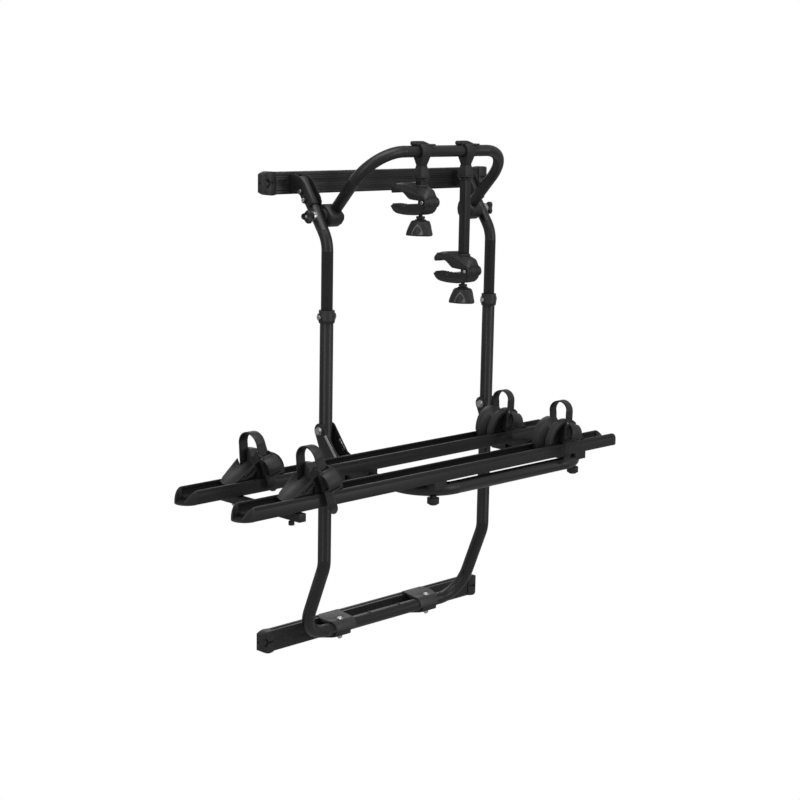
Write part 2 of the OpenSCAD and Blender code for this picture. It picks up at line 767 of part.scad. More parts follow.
module saddle_bolts() {
    low = tube_z - platform_d / 2;
    color("silver") for (s = [-1, 1]) {
        translate([s * knob_x, front_rail_y, 0]) t_bolt(low - 18);
        translate([s * post_x, back_rail_y, 0]) {
            t_bolt(low - 10);
            translate([0, 0, low - 7.4]) hex(13, 6.5);
            translate([0, 0, low - 0.9]) difference() {
                cylinder(r = 10, h = 4);
                translate([0, 0, platform_d / 2 + 0.9]) rod_y(platform_d / 2 + seat_gap, -20, 20);
            }
        }
    }
}

// Knob under a front corner of the platform tube
module platform_knob(s) {
    top = tube_z - platform_d / 2 - run_gap;
    color("#161617") translate([s * knob_x, front_rail_y, top]) mirror([0, 0, 1]) difference() {
        union() {
            translate([0, 0, 3.5]) cylinder(d = 36, h = 14);
            translate([0, 0, 17]) cylinder(d1 = 34, d2 = 22, h = 4, $fn = 48);
            for (a = [0:30:330]) rotate([0, 0, a]) translate([17, 0, 4]) cylinder(r = 1.8, h = 13, $fn = 16);
            cylinder(d = 20, h = 4);
        }
        translate([0, 0, -1]) cylinder(d = tbolt_d + 2 * run_gap, h = 19.5);
    }
}

module platform_knob_left() {
    platform_knob(-1);
}

module platform_knob_right() {
    platform_knob(1);
}

// Section of a wheel rail as [y, z] over its own foot
module rail_section() {
    half = rail_w / 2;
    lip = trench_w / 2;
    difference() {
        polygon([[-half, 1], [-half + 1, 0], [half - 1, 0], [half, 1], [half, rail_h - 1],
            [half - 1, rail_h], [-half + 1, rail_h], [-half, rail_h - 1]]);
        // Trench, wider under its lips
        translate([-lip, floor_z]) square([2 * lip, rail_h]);
        translate([-half + rail_wall, floor_z]) square([rail_w - 2 * rail_wall, rail_h - floor_z - 5]);
        // T-slot
        translate([-slot_open / 2, -1]) square([slot_open, slot_lip + 2]);
        translate([-slot_w / 2, slot_lip]) square([slot_w, slot_h]);
        // Open hollows beside the slot
        for (s = [-1, 1]) translate([s * (half - rail_wall + slot_w / 2 + rail_wall) / 2 - 7, -1])
            square([14, floor_z - rail_wall + 1]);
        // Step along each outer wall
        for (s = [-1, 1]) translate([s * half - 0.8, rail_h - 9]) square([1.6, 1.6]);
    }
    // Ribs on the trench floor
    for (y = [-18:6:18]) translate([y - 0.8, floor_z - 0.5]) square([1.6, 1.5]);
}

module wheel_rail(y) {
    half = rail_len / 2 - nose_len;
    color("#202022") translate([rail_shift, y, rail_z]) along_x(-half, half) rail_section();
}

module front_rail() {
    wheel_rail(front_rail_y);
}

module back_rail() {
    wheel_rail(back_rail_y);
}

// Nose: a round-ended scoop that carries the trench out and down
module rail_nose() {
    half = rail_w / 2;
    difference() {
        intersection() {
            linear_extrude(rail_h) union() {
                translate([0, -half]) square([nose_len - half + 4, rail_w]);
                translate([nose_len - half, 0]) circle(r = half);
            }
            // Side outline: the wall falls in a curve towards the tip
            along_y(-half - 1, half + 1) polygon(concat([[0, 0], [nose_len, 0], [nose_len, 15]],
                arc([nose_len + 6, 50], 34, 262, 207, 10), [[0, rail_h]]));
        }
        // Scoop with a round end
        translate([0, 0, floor_z]) linear_extrude(rail_h) union() {
            translate([-1, -trench_w / 2]) square([nose_len - half - 2, trench_w]);
            translate([nose_len - half - 3, 0]) circle(d = trench_w);
        }
        translate([-1, -slot_open / 2, -1]) cube([nose_len * 0.5, slot_open, slot_lip + slot_h]);
    }
}

module rail_noses() {
    half = rail_len / 2 - nose_len;
    color("#161617") for (y = RAIL_Y, m = [0, 1])
        translate([rail_shift, y, rail_z]) mirror([m, 0, 0]) translate([half, 0, 0]) rail_nose();
}

// Brace under the rails' left ends, with a cap in its front end
brace_w = 19;
brace_h = 18;
brace_x = rail_shift - brace_off;
brace_z = rail_z - 2.4 - brace_h;
brace_front = front_rail_y - rail_w / 2 - 7;
brace_back = back_rail_y + rail_w / 2 + 7;

module cross_brace() {
    color("#1b1b1d") difference() {
        union() {
            block([brace_x - brace_w / 2, brace_front + 12, brace_z],
                [brace_x + brace_w / 2, brace_back, brace_z + brace_h]);
            for (y = RAIL_Y) block([brace_x - brace_w / 2, y - 15, brace_z + brace_h - 1],
                [brace_x + brace_w / 2, y + 15, rail_z]);
        }
        block([brace_x - brace_w / 2 + 2, brace_front, brace_z + 2],
            [brace_x + brace_w / 2 - 2, brace_back + 1, brace_z + brace_h - 2]);
        for (y = RAIL_Y) translate([brace_x, y, brace_z - 1]) cylinder(d = 6.4, h = 40);
    }
    color("#3a3a3c") {
        block([brace_x - brace_w / 2, brace_front, brace_z],
            [brace_x + brace_w / 2, brace_front + 12, brace_z + brace_h]);
        block([brace_x - brace_w / 2 + 2.2, brace_front + 12, brace_z + 2.2],
            [brace_x + brace_w / 2 - 2.2, brace_front + 20, brace_z + brace_h - 2.2]);
        block([brace_x - brace_w / 2 + 2.2, brace_back - 8, brace_z + 2.2],
            [brace_x + brace_w / 2 - 2.2, brace_back, brace_z + brace_h - 2.2]);
        block([brace_x - brace_w / 2, brace_back, brace_z],
            [brace_x + brace_w / 2, brace_back + 3, brace_z + brace_h]);
    }
}

module brace_bolts() {
    color("silver") for (y = RAIL_Y) translate([brace_x, y, 0]) {
        head_z = rail_z + slot_lip + run_gap;
        translate([0, 0, brace_z - 9]) cylinder(d = 6, h = head_z - brace_z + 10);
        translate([0, 0, head_z]) linear_extrude(4) square([14, 12], center = true);
        if (y == back_rail_y) translate([0, 0, brace_z - 5.3]) hex(10, 5.2);
    }
}

module brace_knob() {
    color("#161617") translate([brace_x, front_rail_y, brace_z - run_gap]) mirror([0, 0, 1])
        lobed_shank();
}

module lobed_shank() {
    difference() {
        union() {
            cylinder(d = 13, h = 5);
            translate([0, 0, 4]) cylinder(d = 22, h = 9);
            for (a = [10:45:325]) rotate([0, 0, a]) translate([10.2, 0, 4.6]) cylinder(r = 2, h = 7.8, $fn = 16);
        }
        translate([0, 0, -1]) cylinder(d = 6 + 2 * run_gap, h = 11);
    }
}

// Place of a holder: sx is -1 on the left and 1 on the right, sy is 0 on the front rail
module at_holder(sx, sy) {
    translate([rail_shift + sx * holder_half, RAIL_Y[sy], rail_top])
        mirror([sx < 0 ? 1 : 0, 0, 0]) children();
}

// Side outline of a holder as [outward, z] over the rail's top
module holder_side() {
    inner = arc([-151, 139], 150, -65, -31, 12);
    outer = arc([104.4, 102.6], 110, 214, 245, 10);
    polygon(concat([[-92, -14]], inner, [[-10, ramp_h], [-3, ramp_h - 12], [-3, 28], [5, 28]],
        [[6, outer_h]], outer, [[61, -3], [61, -14]]));
}

// Cross outline of a holder as [y, z]: narrow in the trench, wide over the rail, tapered up
module holder_cross() {
    half = holder_w / 2;
    in_half = trench_w / 2 - run_gap;
    polygon([[-in_half, floor_z - rail_h + 1.3], [in_half, floor_z - rail_h + 1.3],
        [in_half, holder_gap], [half, holder_gap], [half - 1, 12], [half - 13, ramp_h + 1],
        [-half + 13, ramp_h + 1], [-half + 1, 12], [-half, holder_gap], [-in_half, holder_gap]]);
}

module holder(sx, sy) {
    color("#1a1a1b") at_holder(sx, sy) difference() {
        intersection() {
            along_y(-holder_w, holder_w) holder_side();
            along_x(-100, 70) holder_cross();
        }
        // V-groove down each ramp, turned about the ramp's own centre
        translate([-151, 0, 139]) rotate([90, 0, 0]) rotate_extrude($fn = 128)
            polygon([[120, -24], [149, -24], [172, -3], [172, 3], [149, 24], [120, 24]]);
        translate([104.4, 0, 102.6]) rotate([90, 0, 0]) rotate_extrude($fn = 96)
            polygon([[90, -22], [109.5, -22], [128, -3], [128, 3], [109.5, 22], [90, 22]]);
        // Slots for the strap's two legs
        block([-strap_w / 2 - 1, leg_far_y - strap_t / 2 - 1, slot_floor],
            [strap_w / 2 + 1, leg_far_y + strap_t / 2 + 1, ramp_h + 9]);
        block([-strap_w / 2 - 1, -holder_w, slot_floor], [strap_w / 2 + 1, leg_near_y + strap_t, ramp_h + 9]);
        // Hollow under the ramps
        block([-70, -trench_w / 2 + 4, floor_z - rail_h], [-14, trench_w / 2 - 4, -6]);
        // Slotted handle in each flank
        for (m = [-1, 1]) block([18, min(m * 24, m * 40), 8], [34, max(m * 24, m * 40), 15]);
    }
}

// Strap: a loop over the tyre, then a toothed tail through the buckle
module strap_loop() {
    r = loop_r;
    z0 = loop_z - rail_top;
    along_x(-strap_w / 2, strap_w / 2) {
        translate([leg_far_y - strap_t / 2, slot_floor + run_gap]) square([strap_t, z0 - slot_floor - run_gap]);
        intersection() {
            translate([leg_far_y - r, z0]) difference() {
                circle(r = r + strap_t / 2);
                circle(r = r - strap_t / 2);
            }
            translate([-60, z0]) square([120, 60]);
        }
    }
}

// Frame of the strap's near leg: Z runs up the strap, and -Y points out
module on_near_leg() {
    translate([0, leg_near_y, loop_z - rail_top]) rotate([0, near_tilt, 0])
        rotate([-near_lean, 0, 0]) children();
}

module strap(sx, sy) {
    tooth = 3.4;
    half = buckle_w / 2;
    color("#1a1a1b") at_holder(sx, sy) {
        union() {
            strap_loop();
            translate([0, leg_near_y, loop_z - rail_top]) rod_y(strap_w / 2 + 0.6, -strap_t / 2 - 0.3, strap_t / 2 + 0.3);
            on_near_leg() {
                block([-strap_w / 2, -strap_t / 2, -LEG_RUN[sy]], [strap_w / 2, strap_t / 2, 0]);
                for (i = [1:5]) block([-strap_w / 2 + 3, -strap_t / 2 - 1, -i * tooth],
                    [strap_w / 2 - 3, 0, -i * tooth + tooth * 0.5]);
                for (i = [0:11]) block([-strap_w / 2 + 3, -strap_t / 2 - 1, -buckle_top - buckle_len - 2 - i * tooth],
                    [strap_w / 2 - 3, 0, -buckle_top - buckle_len - 2 - i * tooth + tooth * 0.5]);
            }
        }
        // Buckle frame round the strap
        on_near_leg() difference() {
            union() {
                block([-half, -13, -buckle_top - buckle_len], [half, strap_t / 2 + 3, -buckle_top]);
            }
            block([-strap_w / 2 - seat_gap, -30, -buckle_top - buckle_len - 1],
                [strap_w / 2 + seat_gap, strap_t / 2 + seat_gap, -buckle_top + 1]);
            translate([0, -8, -buckle_top - 7]) rod_x(2.5 + run_gap, -half - 1, half + 1);
        }
    }
}

// Buckle lever: a wide curved plate hinged in the buckle's cheeks
module buckle_lever(sx, sy) {
    w = strap_w / 2 - 0.3;
    color("#161617") at_holder(sx, sy) on_near_leg() translate([0, -8, -buckle_top - 7]) {
        rod_x(2.5, -buckle_w / 2, buckle_w / 2);
        rod_x(4.5, -w, w);
        along_x(-w, w) difference() {
            polygon(concat(arc([6, -24], 27.5, 96, 218, 16), arc([6, -24], 24.3, 214, 100, 16)));
            translate([4, -24]) square([10, 60]);
        }
    }
}

module holder_front_left() {
    holder(-1, 0);
}

module holder_front_right() {
    holder(1, 0);
}

module holder_back_left() {
    holder(-1, 1);
}

module holder_back_right() {
    holder(1, 1);
}

module strap_front_left() {
    strap(-1, 0);
}

module strap_front_right() {
    strap(1, 0);
}

module strap_back_left() {
    strap(-1, 1);
}

module strap_back_right() {
    strap(1, 1);
}

module buckle_lever_front_left() {
    buckle_lever(-1, 0);
}

module buckle_lever_front_right() {
    buckle_lever(1, 0);
}

module buckle_lever_back_left() {
    buckle_lever(-1, 1);
}

module buckle_lever_back_right() {
    buckle_lever(1, 1);
}

// Place of an arm: its origin is on the arch bar's axis
module at_arm(x) {
    translate([x, bar_y, bar_z]) children();
}

// Clamp over the arch bar: a hook, a neck and a tapered collar for the square tube
clamp_w = 26;
bar_bore = arch_d / 2 + run_gap;

// Outline of the tapered collar under a clamp's neck
module collar_outline() {
    polygon([[-18.5, -62], [18.5, -62], [17, -48], [14, -32], [-14, -32], [-17, -48]]);
}

module arm_clamp(x) {
    color("#161617") at_arm(x) difference() {
        union() {
            // Hook body round the bar
            rod_x(arch_d / 2 + 5.5, -clamp_w / 2, clamp_w / 2);
            along_x(-clamp_w / 2, clamp_w / 2) polygon([[-19.7, 0], [-11, -32], [11, -32], [19.7, 0],
                [14, 12], [9, 19.5], [-9, 19.5], [-16, 12]]);
            block([-clamp_w / 2 - 12, -8, 17.5], [clamp_w / 2 + 4, 8, 20.5]);
            // Tapered collar and its flange
            intersection() {
                along_x(-20, 20) collar_outline();
                along_y(-20, 20) collar_outline();
            }
            translate([0, 0, -65]) cylinder(d = 44, h = 4);
            translate([0, 0, -70]) cylinder(d = 34, h = 6);
        }
        rod_x(bar_bore, -60, 60);
        translate([-arm_tube / 2 - seat_gap, -arm_tube / 2 - seat_gap, -80])
            cube([arm_tube + 2 * seat_gap, arm_tube + 2 * seat_gap, 40]);
    }
}

// Lever across the clamp's top, which draws the hook tight
module clamp_lever(x) {
    color("#161617") at_arm(x) translate([-clamp_w / 2 - 9, 0, 0]) {
        translate([0, 0, 26]) rod_y(4.6, -18, 18);
        translate([0, 0, 20.5 + run_gap]) cylinder(r = 6.5, h = 4);
    }
}

// Square tube from the collar down into the upper jaw
module arm_tube_at(x, drop) {
    wall = 2;
    in = arm_tube / 2 - wall;
    color("#1b1b1d") at_arm(x) difference() {
        block([-arm_tube / 2, -arm_tube / 2, -drop + 26], [arm_tube / 2, arm_tube / 2, -41]);
        block([-in, -in, -drop], [in, in, 0]);
    }
}

// Frame of a jaw pair: the origin is on the arm's axis at the hinge's height, +Y to the tips
jaw_hinge_y = -27;
hinge_r = 13;

module upper_jaw_outline() {
    polygon(concat([[jaw_hinge_y - 11, 4]], arc([jaw_hinge_y + 4, 20], 17, 200, 110, 8),
        [[-8, 40], [24, 45], [52, 44]], arc([58, 26], 18, 90, 20, 6),
        [[77, 22], [70, 25], [67, 21], [62, 26], [58, 24], [52, 30], [40, 27], [24, 17],
        [4, 8], [-11, 5], [-14.2, 2.2], [-15, -1]]));
}

module lower_jaw_outline() {
    polygon([[jaw_hinge_y - 11, -4], [-34, -18], [-20, -30], [0, -33], [24, -31], [50, -28], [68, -20],
        [80, -8], [74, -11], [70, -7], [64, -13], [58, -11], [50, -17], [36, -14], [20, -8],
        [0, -5], [-11, -5], [-14.2, -2.2], [-15, 1]]);
}

// Upper jaw: carries the hinge barrel's middle, the rod and the socket on the arm's tube
module upper_jaw(x, drop) {
    color("#161617") at_arm(x) translate([0, 0, -drop]) {
        difference() {
            union() {
                along_x(-jaw_w / 2, jaw_w / 2) upper_jaw_outline();
                translate([0, jaw_hinge_y, 0]) rod_x(hinge_r, -9, 9);
            }
            // Clear of the lower jaw's barrel ends
            for (m = [0, 1]) mirror([m, 0, 0]) translate([0, jaw_hinge_y, 0])
                rod_x(hinge_r + run_gap, 9, 60);
            // Round socket, in which the square tube's corners turn
            translate([0, 0, 26 - run_gap]) cylinder(r = arm_tube / sqrt(2) + run_gap, h = 40);
            translate([0, jaw_hinge_y, 0]) rod_x(4 + run_gap, -60, 60);
            cylinder(r = 5 + run_gap, h = 60, center = true);
            block([-jaw_w / 2 + 7, 30, -10], [jaw_w / 2 - 7, 90, 27]);
        }
    }
}

module lower_jaw(x, drop) {
    color("#161617") at_arm(x) translate([0, 0, -drop]) {
        difference() {
            union() {
                along_x(-jaw_w / 2, jaw_w / 2) lower_jaw_outline();
                translate([0, jaw_hinge_y, 0]) for (m = [0, 1]) mirror([m, 0, 0])
                    rod_x(hinge_r, 9 + run_gap, jaw_w / 2 + 4);
            }
            translate([0, jaw_hinge_y, 0]) rod_x(hinge_r + run_gap, -9 - run_gap, 9 + run_gap);
            // Long hole for the rod, which stays clear of it as the jaw swings
            block([-6, -13.5, -40], [6, 12, 10]);
            block([-jaw_w / 2 + 7, 30, -16], [jaw_w / 2 - 7, 90, 10]);
            translate([0, jaw_hinge_y, 0]) rod_x(4 + seat_gap, -60, 60);
        }
        // Hinge bolt
        color("silver") translate([0, jaw_hinge_y, 0]) {
            rod_x(4, -jaw_w / 2 - 4, jaw_w / 2 + 4);
            rod_x(7, -jaw_w / 2 - 7, -jaw_w / 2 - 4);
            rod_x(7, jaw_w / 2 + 4, jaw_w / 2 + 7);
        }
    }
}

// Grip knob on its rod: a tri-lobed bell under the jaws
module grip_knob(x, drop) {
    top = -drop - 34;
    color("#161617") at_arm(x) {
        translate([0, 0, top - 8]) cylinder(d = 26, h = 7.4);
        translate([0, 0, top - 4]) cylinder(r = 5, h = 48);
        difference() {
            union() {
                translate([0, 0, top - 13]) cylinder(d = 38, h = 5.5);
                translate([0, 0, top - 47]) cylinder(d1 = grip_d - 10, d2 = 38, h = 34, $fn = 48);
                for (a = [0, 120, 240]) rotate([0, 0, a]) hull() {
                    translate([grip_d / 2 - 13, 0, top - 47]) cylinder(r = 13, h = 12, $fn = 24);
                    translate([9, 0, top - 14]) cylinder(r = 10, h = 3, $fn = 24);
                }
            }
            translate([0, 0, top - 50]) cylinder(d1 = grip_d - 16, d2 = 30, h = 24, $fn = 48);
        }
    }
}

module short_arm_clamp() {
    arm_clamp(short_x);
}

module short_clamp_lever() {
    clamp_lever(short_x);
}

module short_arm_tube() {
    arm_tube_at(short_x, short_drop);
}

module short_upper_jaw() {
    upper_jaw(short_x, short_drop);
}

module short_lower_jaw() {
    lower_jaw(short_x, short_drop);
}

module short_grip_knob() {
    grip_knob(short_x, short_drop);
}

module long_arm_clamp() {
    arm_clamp(long_x);
}

module long_clamp_lever() {
    clamp_lever(long_x);
}

module long_arm_tube() {
    arm_tube_at(long_x, long_drop);
}

module long_upper_jaw() {
    upper_jaw(long_x, long_drop);
}

module long_lower_jaw() {
    lower_jaw(long_x, long_drop);
}

module long_grip_knob() {
    grip_knob(long_x, long_drop);
}

bottom_rail();
bottom_rail_caps();
lower_frame();
height_collars();
collar_bolts();
rail_clamp_plates();
rail_clamp_jaws();
rail_clamp_bolts();
pivot_bolts();
top_rail();
top_rail_caps();
upper_tube_left();
upper_tube_right();
hook_left();
hook_right();
hook_bolts();
arch_bolts();
arch_tube();
arch_knuckle_left();
arch_knuckle_right();
arch_knob_left();
arch_knob_right();
platform_tube();
platform_arm_left();
platform_arm_right();
lock_strips();
saddles();
saddle_bolts();
platform_knob_left();
platform_knob_right();
front_rail();
back_rail();
rail_noses();
cross_brace();
brace_bolts();
brace_knob();
holder_front_left();
holder_front_right();
holder_back_left();
holder_back_right();
strap_front_left();
strap_front_right();
strap_back_left();
strap_back_right();
buckle_lever_front_left();
buckle_lever_front_right();
buckle_lever_back_left();
buckle_lever_back_right();
short_arm_clamp();
short_clamp_lever();
short_arm_tube();
short_upper_jaw();
short_lower_jaw();
short_grip_knob();
long_arm_clamp();
long_clamp_lever();
long_arm_tube();
long_upper_jaw();
long_lower_jaw();
long_grip_knob();
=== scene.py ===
# %% [markdown]
# # A bike carrier for a van's back door
#
# The carrier is nearly all black: powder-coated steel tube, anodised aluminium
# rails and moulded nylon. Black objects show their shape by their highlights,
# so this scene is about two things: edges that are slightly round, and surfaces
# that each scatter light in their own way.

import json
import math

import bmesh
import bpy
from mathutils import Matrix, Vector


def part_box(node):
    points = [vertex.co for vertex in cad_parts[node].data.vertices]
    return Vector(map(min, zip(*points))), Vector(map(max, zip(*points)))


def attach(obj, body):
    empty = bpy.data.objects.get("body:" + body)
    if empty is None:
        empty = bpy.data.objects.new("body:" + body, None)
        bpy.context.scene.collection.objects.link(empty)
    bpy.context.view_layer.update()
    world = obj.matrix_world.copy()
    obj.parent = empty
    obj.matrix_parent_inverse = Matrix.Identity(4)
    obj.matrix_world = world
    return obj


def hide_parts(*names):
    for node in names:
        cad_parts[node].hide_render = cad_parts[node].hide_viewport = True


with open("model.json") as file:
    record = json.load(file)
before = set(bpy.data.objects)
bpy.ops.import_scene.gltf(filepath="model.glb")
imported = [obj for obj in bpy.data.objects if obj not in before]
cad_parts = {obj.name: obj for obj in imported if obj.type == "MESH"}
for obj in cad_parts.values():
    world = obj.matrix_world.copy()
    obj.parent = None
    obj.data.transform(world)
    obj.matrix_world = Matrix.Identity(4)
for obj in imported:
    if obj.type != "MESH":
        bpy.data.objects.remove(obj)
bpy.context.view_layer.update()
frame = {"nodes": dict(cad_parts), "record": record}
NODE_BODY = {n: b for b, nodes in frame["record"]["behaviour"]["bodies"].items() for n in nodes}
MM = 0.001
print("nodes in the frame:", len(frame["nodes"]))

# %% [markdown]
# ## Camera
#
# The picture was taken with a long lens from the front left, a little above the
# carrier. A long lens keeps the uprights nearly parallel. The camera stands where
# the straight edges of the rails and tubes line up with the picture.

# %% The camera
CAMERA_PLACE = Vector((-3.00397, -3.10573, 1.36770))
CAMERA_PITCH = math.radians(10.344)
CAMERA_TURN = math.radians(-45.065)
CAMERA_ROLL = math.radians(1.05)
LENS_MM = 75.0


def add_camera():
    bpy.ops.object.camera_add()
    cam = bpy.context.object
    cam.name = "camera"
    cam.data.lens = LENS_MM
    cam.data.sensor_width = 36
    turn = Matrix.Rotation(CAMERA_TURN, 4, "Z")
    tip = Matrix.Rotation(math.pi / 2 - CAMERA_PITCH, 4, "X")
    roll = Matrix.Rotation(CAMERA_ROLL, 4, "Z")
    cam.matrix_world = Matrix.Translation(CAMERA_PLACE) @ turn @ tip @ roll
    cam.data.clip_end = 60
    bpy.context.scene.camera = cam
    return cam


camera = add_camera()
print("camera at", tuple(round(v, 3) for v in camera.location))

# %% [markdown]
# ## Writing shaders as sums
#
# A procedural finish is a little formula: noise, scaled, then added to a roughness.
# The class below wraps a shader socket so that such a formula
# is written as Python arithmetic, and each operator adds one Math node.


# %% Shader sockets with operators
class Sock:
    def __init__(self, tree, socket):
        self.tree = tree
        self.socket = socket

    def maths(self, operation, *values):
        node = self.tree.nodes.new("ShaderNodeMath")
        node.operation = operation
        for slot, value in zip(node.inputs, (self, *values)):
            plug(self.tree, slot, value)
        return Sock(self.tree, node.outputs[0])

    def __add__(self, other):
        return self.maths("ADD", other)

    def __sub__(self, other):
        return self.maths("SUBTRACT", other)

    def __mul__(self, other):
        return self.maths("MULTIPLY", other)

    __radd__ = __add__
    __rmul__ = __mul__


def plug(tree, slot, value):
    if isinstance(value, Sock):
        tree.links.new(value.socket, slot)
    else:
        slot.default_value = value


class Finish:
    """A material in the making: its tree, and the one method that adds any node."""

    def __init__(self, name):
        self.material = bpy.data.materials.new(name)
        self.material.use_nodes = True
        self.tree = self.material.node_tree
        self.shader = self.tree.nodes["Principled BSDF"]

    def node(self, kind, settings=None, output=0, **values):
        node = self.tree.nodes.new("ShaderNode" + kind)
        for key, value in (settings or {}).items():
            setattr(node, key, value)
        for key, value in values.items():
            plug(self.tree, node.inputs[key], value)
        return Sock(self.tree, node.outputs[output])

    def object_coords(self, scale=(1, 1, 1), turn=(0, 0, 0)):
        coords = self.node("TexCoord", output=3)
        return self.node("Mapping", Vector=coords, Scale=scale, Rotation=turn)

    def noise(self, vector, scale, detail=2.0, roughness=0.5):
        return self.node("TexNoise", Vector=vector, Scale=scale, Detail=detail, Roughness=roughness)

    def mix(self, factor, a, b):
        node = self.tree.nodes.new("ShaderNodeMix")
        node.data_type = "RGBA"
        plug(self.tree, node.inputs[0], factor)
        plug(self.tree, node.inputs[6], (*a, 1) if isinstance(a, tuple) else a)
        plug(self.tree, node.inputs[7], (*b, 1) if isinstance(b, tuple) else b)
        return Sock(self.tree, node.outputs[2])

    def bump(self, height, strength, distance):
        return self.node("Bump", Height=height, Strength=strength, Distance=distance)

    def set(self, **values):
        for key, value in values.items():
            name = key.replace("_", " ")
            if isinstance(value, tuple) and len(value) == 3:
                value = (*value, 1)
            plug(self.tree, self.shader.inputs[name], value)
        return self.material


# %% [markdown]
# ## The finishes
#
# Powder coat is paint baked on as dust: it levels out to a satin skin with a faint
# orange peel a few millimetres across. Nylon mouldings copy the spark-eroded grain
# of their tool, which is finer and rougher. Anodised rails keep the fine draw lines
# of the extrusion die along their length. Zinc on the bolts is bright, with a
# slightly cloudy gloss.


# %% Powder coat for the tubes and sheet
def powder_coat(name="powder_coat", colour=(0.0105, 0.0105, 0.0112)):
    f = Finish(name)
    coords = f.object_coords()
    peel = f.noise(coords, 260.0, 2.0)
    speck = f.noise(coords, 1900.0, 1.0)
    cloud = f.noise(coords, 9.0, 3.0)
    lighter = tuple(c * 1.5 for c in colour)
    return f.set(
        Base_Color=f.mix(cloud, colour, lighter),
        Roughness=cloud * 0.1 + speck * 0.06 + 0.3,
        Normal=f.bump(peel * 0.7 + speck * 0.3, 0.16, 0.0006),
        Specular_IOR_Level=0.5,
    )


# %% Moulded nylon
def nylon(name="moulded_nylon", colour=(0.0145, 0.0145, 0.015), rough=0.46):
    f = Finish(name)
    coords = f.object_coords()
    grain = f.noise(coords, 1500.0, 3.0, 0.65)
    flow = f.noise(coords, 22.0, 2.0)
    lighter = tuple(c * 1.35 for c in colour)
    return f.set(
        Base_Color=f.mix(flow, colour, lighter),
        Roughness=grain * 0.14 + flow * 0.08 + rough - 0.1,
        Normal=f.bump(grain, 0.3, 0.0004),
    )


# %% Anodised aluminium, drawn along X
def anodised(name="anodised_rail", colour=(0.019, 0.019, 0.0198)):
    f = Finish(name)
    coords = f.object_coords(scale=(3, 900, 900))
    lines = f.noise(coords, 1.0, 3.0, 0.6)
    cloud = f.noise(f.object_coords(scale=(1, 6, 6)), 8.0, 2.0)
    lighter = tuple(c * 1.8 for c in colour)
    return f.set(
        Base_Color=f.mix(cloud, colour, lighter),
        Metallic=0.35,
        Roughness=lines * 0.16 + cloud * 0.06 + 0.3,
        Normal=f.bump(lines, 0.12, 0.0003),
    )


# %% Bright zinc, cast alloy, and the strap's soft nylon
def zinc():
    f = Finish("zinc_plate")
    coords = f.object_coords()
    cloud = f.noise(coords, 90.0, 3.0)
    return f.set(
        Base_Color=f.mix(cloud, (0.5, 0.5, 0.52), (0.68, 0.68, 0.69)),
        Metallic=1.0,
        Roughness=cloud * 0.16 + 0.2,
        Normal=f.bump(f.noise(coords, 1400.0, 2.0), 0.1, 0.0003),
    )


def cast_alloy():
    f = Finish("coated_casting")
    coords = f.object_coords()
    grain = f.noise(coords, 700.0, 4.0, 0.6)
    return f.set(
        Base_Color=f.mix(grain, (0.05, 0.05, 0.052), (0.085, 0.085, 0.088)),
        Metallic=0.3,
        Roughness=grain * 0.12 + 0.42,
        Normal=f.bump(grain, 0.3, 0.0005),
    )


def strap_nylon():
    f = Finish("strap_nylon")
    coords = f.object_coords()
    grain = f.noise(coords, 500.0, 2.0)
    return f.set(
        Base_Color=f.mix(grain, (0.012, 0.012, 0.0125), (0.02, 0.02, 0.021)),
        Roughness=grain * 0.12 + 0.42,
        Normal=f.bump(grain, 0.15, 0.0004),
    )


FINISHES = {
    "tube": powder_coat(),
    "extrusion": anodised(),
    "clamp_plate": cast_alloy(),
    "zinc": zinc(),
    "strap": strap_nylon(),
    "moulding": nylon(),
}
print("finishes:", sorted(FINISHES))

# %% [markdown]
# ## Edges that catch the light
#
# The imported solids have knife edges, which no pressed, cast or moulded piece has.
# Each node is copied, its triangles are merged back into faces, and its sharp
# edges are rounded by a bevel whose width suits the way the piece is made.

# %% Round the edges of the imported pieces
SLOT_OF = {s["node"]: s["material_slot"] for s in frame["record"]["subparts"]}
ROUND = {"tube": 0.5, "extrusion": 0.35, "clamp_plate": 0.9, "zinc": 0.4, "strap": 0.35, "moulding": 0.8}


def deselect():
    bpy.ops.object.select_all(action="DESELECT")


def only(obj):
    deselect()
    obj.select_set(True)
    bpy.context.view_layer.objects.active = obj


def edit(obj):
    """Opens a piece in edit mode with all of it selected."""
    only(obj)
    bpy.ops.object.mode_set(mode="EDIT")
    bpy.ops.mesh.select_all(action="SELECT")


def leave_edit():
    bpy.ops.object.mode_set(mode="OBJECT")


def round_edges(piece, width, segments=2, sharp=32):
    """Bevels a piece's sharp edges and shades the rest smooth."""
    only(piece)
    bevel = piece.modifiers.new("edges", "BEVEL")
    bevel.width = width * MM
    bevel.segments = segments
    bevel.limit_method = "ANGLE"
    bevel.angle_limit = math.radians(sharp)
    bevel.miter_outer = "MITER_ARC"
    bevel.use_clamp_overlap = True
    bpy.ops.object.modifier_apply(modifier=bevel.name)
    bpy.ops.object.shade_smooth_by_angle(angle=math.radians(30))
    return piece


def dressed_copy(node):
    """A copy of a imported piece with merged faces, bevelled edges and smooth shading."""
    source = frame["nodes"][node]
    piece = source.copy()
    piece.data = source.data.copy()
    piece.name = node + "_dressed"
    bpy.context.collection.objects.link(piece)
    edit(piece)
    bpy.ops.mesh.remove_doubles(threshold=0.00001)
    bpy.ops.mesh.dissolve_limited(angle_limit=math.radians(0.6))
    leave_edit()
    return round_edges(piece, ROUND[SLOT_OF[node]])


def wear(piece, node, finish=None, replaces=True):
    """Puts a piece on the node's body with the finish of the node's slot, or the finish given, and hides
    the node when the piece replaces it.
    """
    slot = SLOT_OF[node]
    piece.data.materials.clear()
    piece.data.materials.append(finish or FINISHES[slot])
    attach(piece, NODE_BODY[node])
    if replaces:
        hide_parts(node)
    return piece


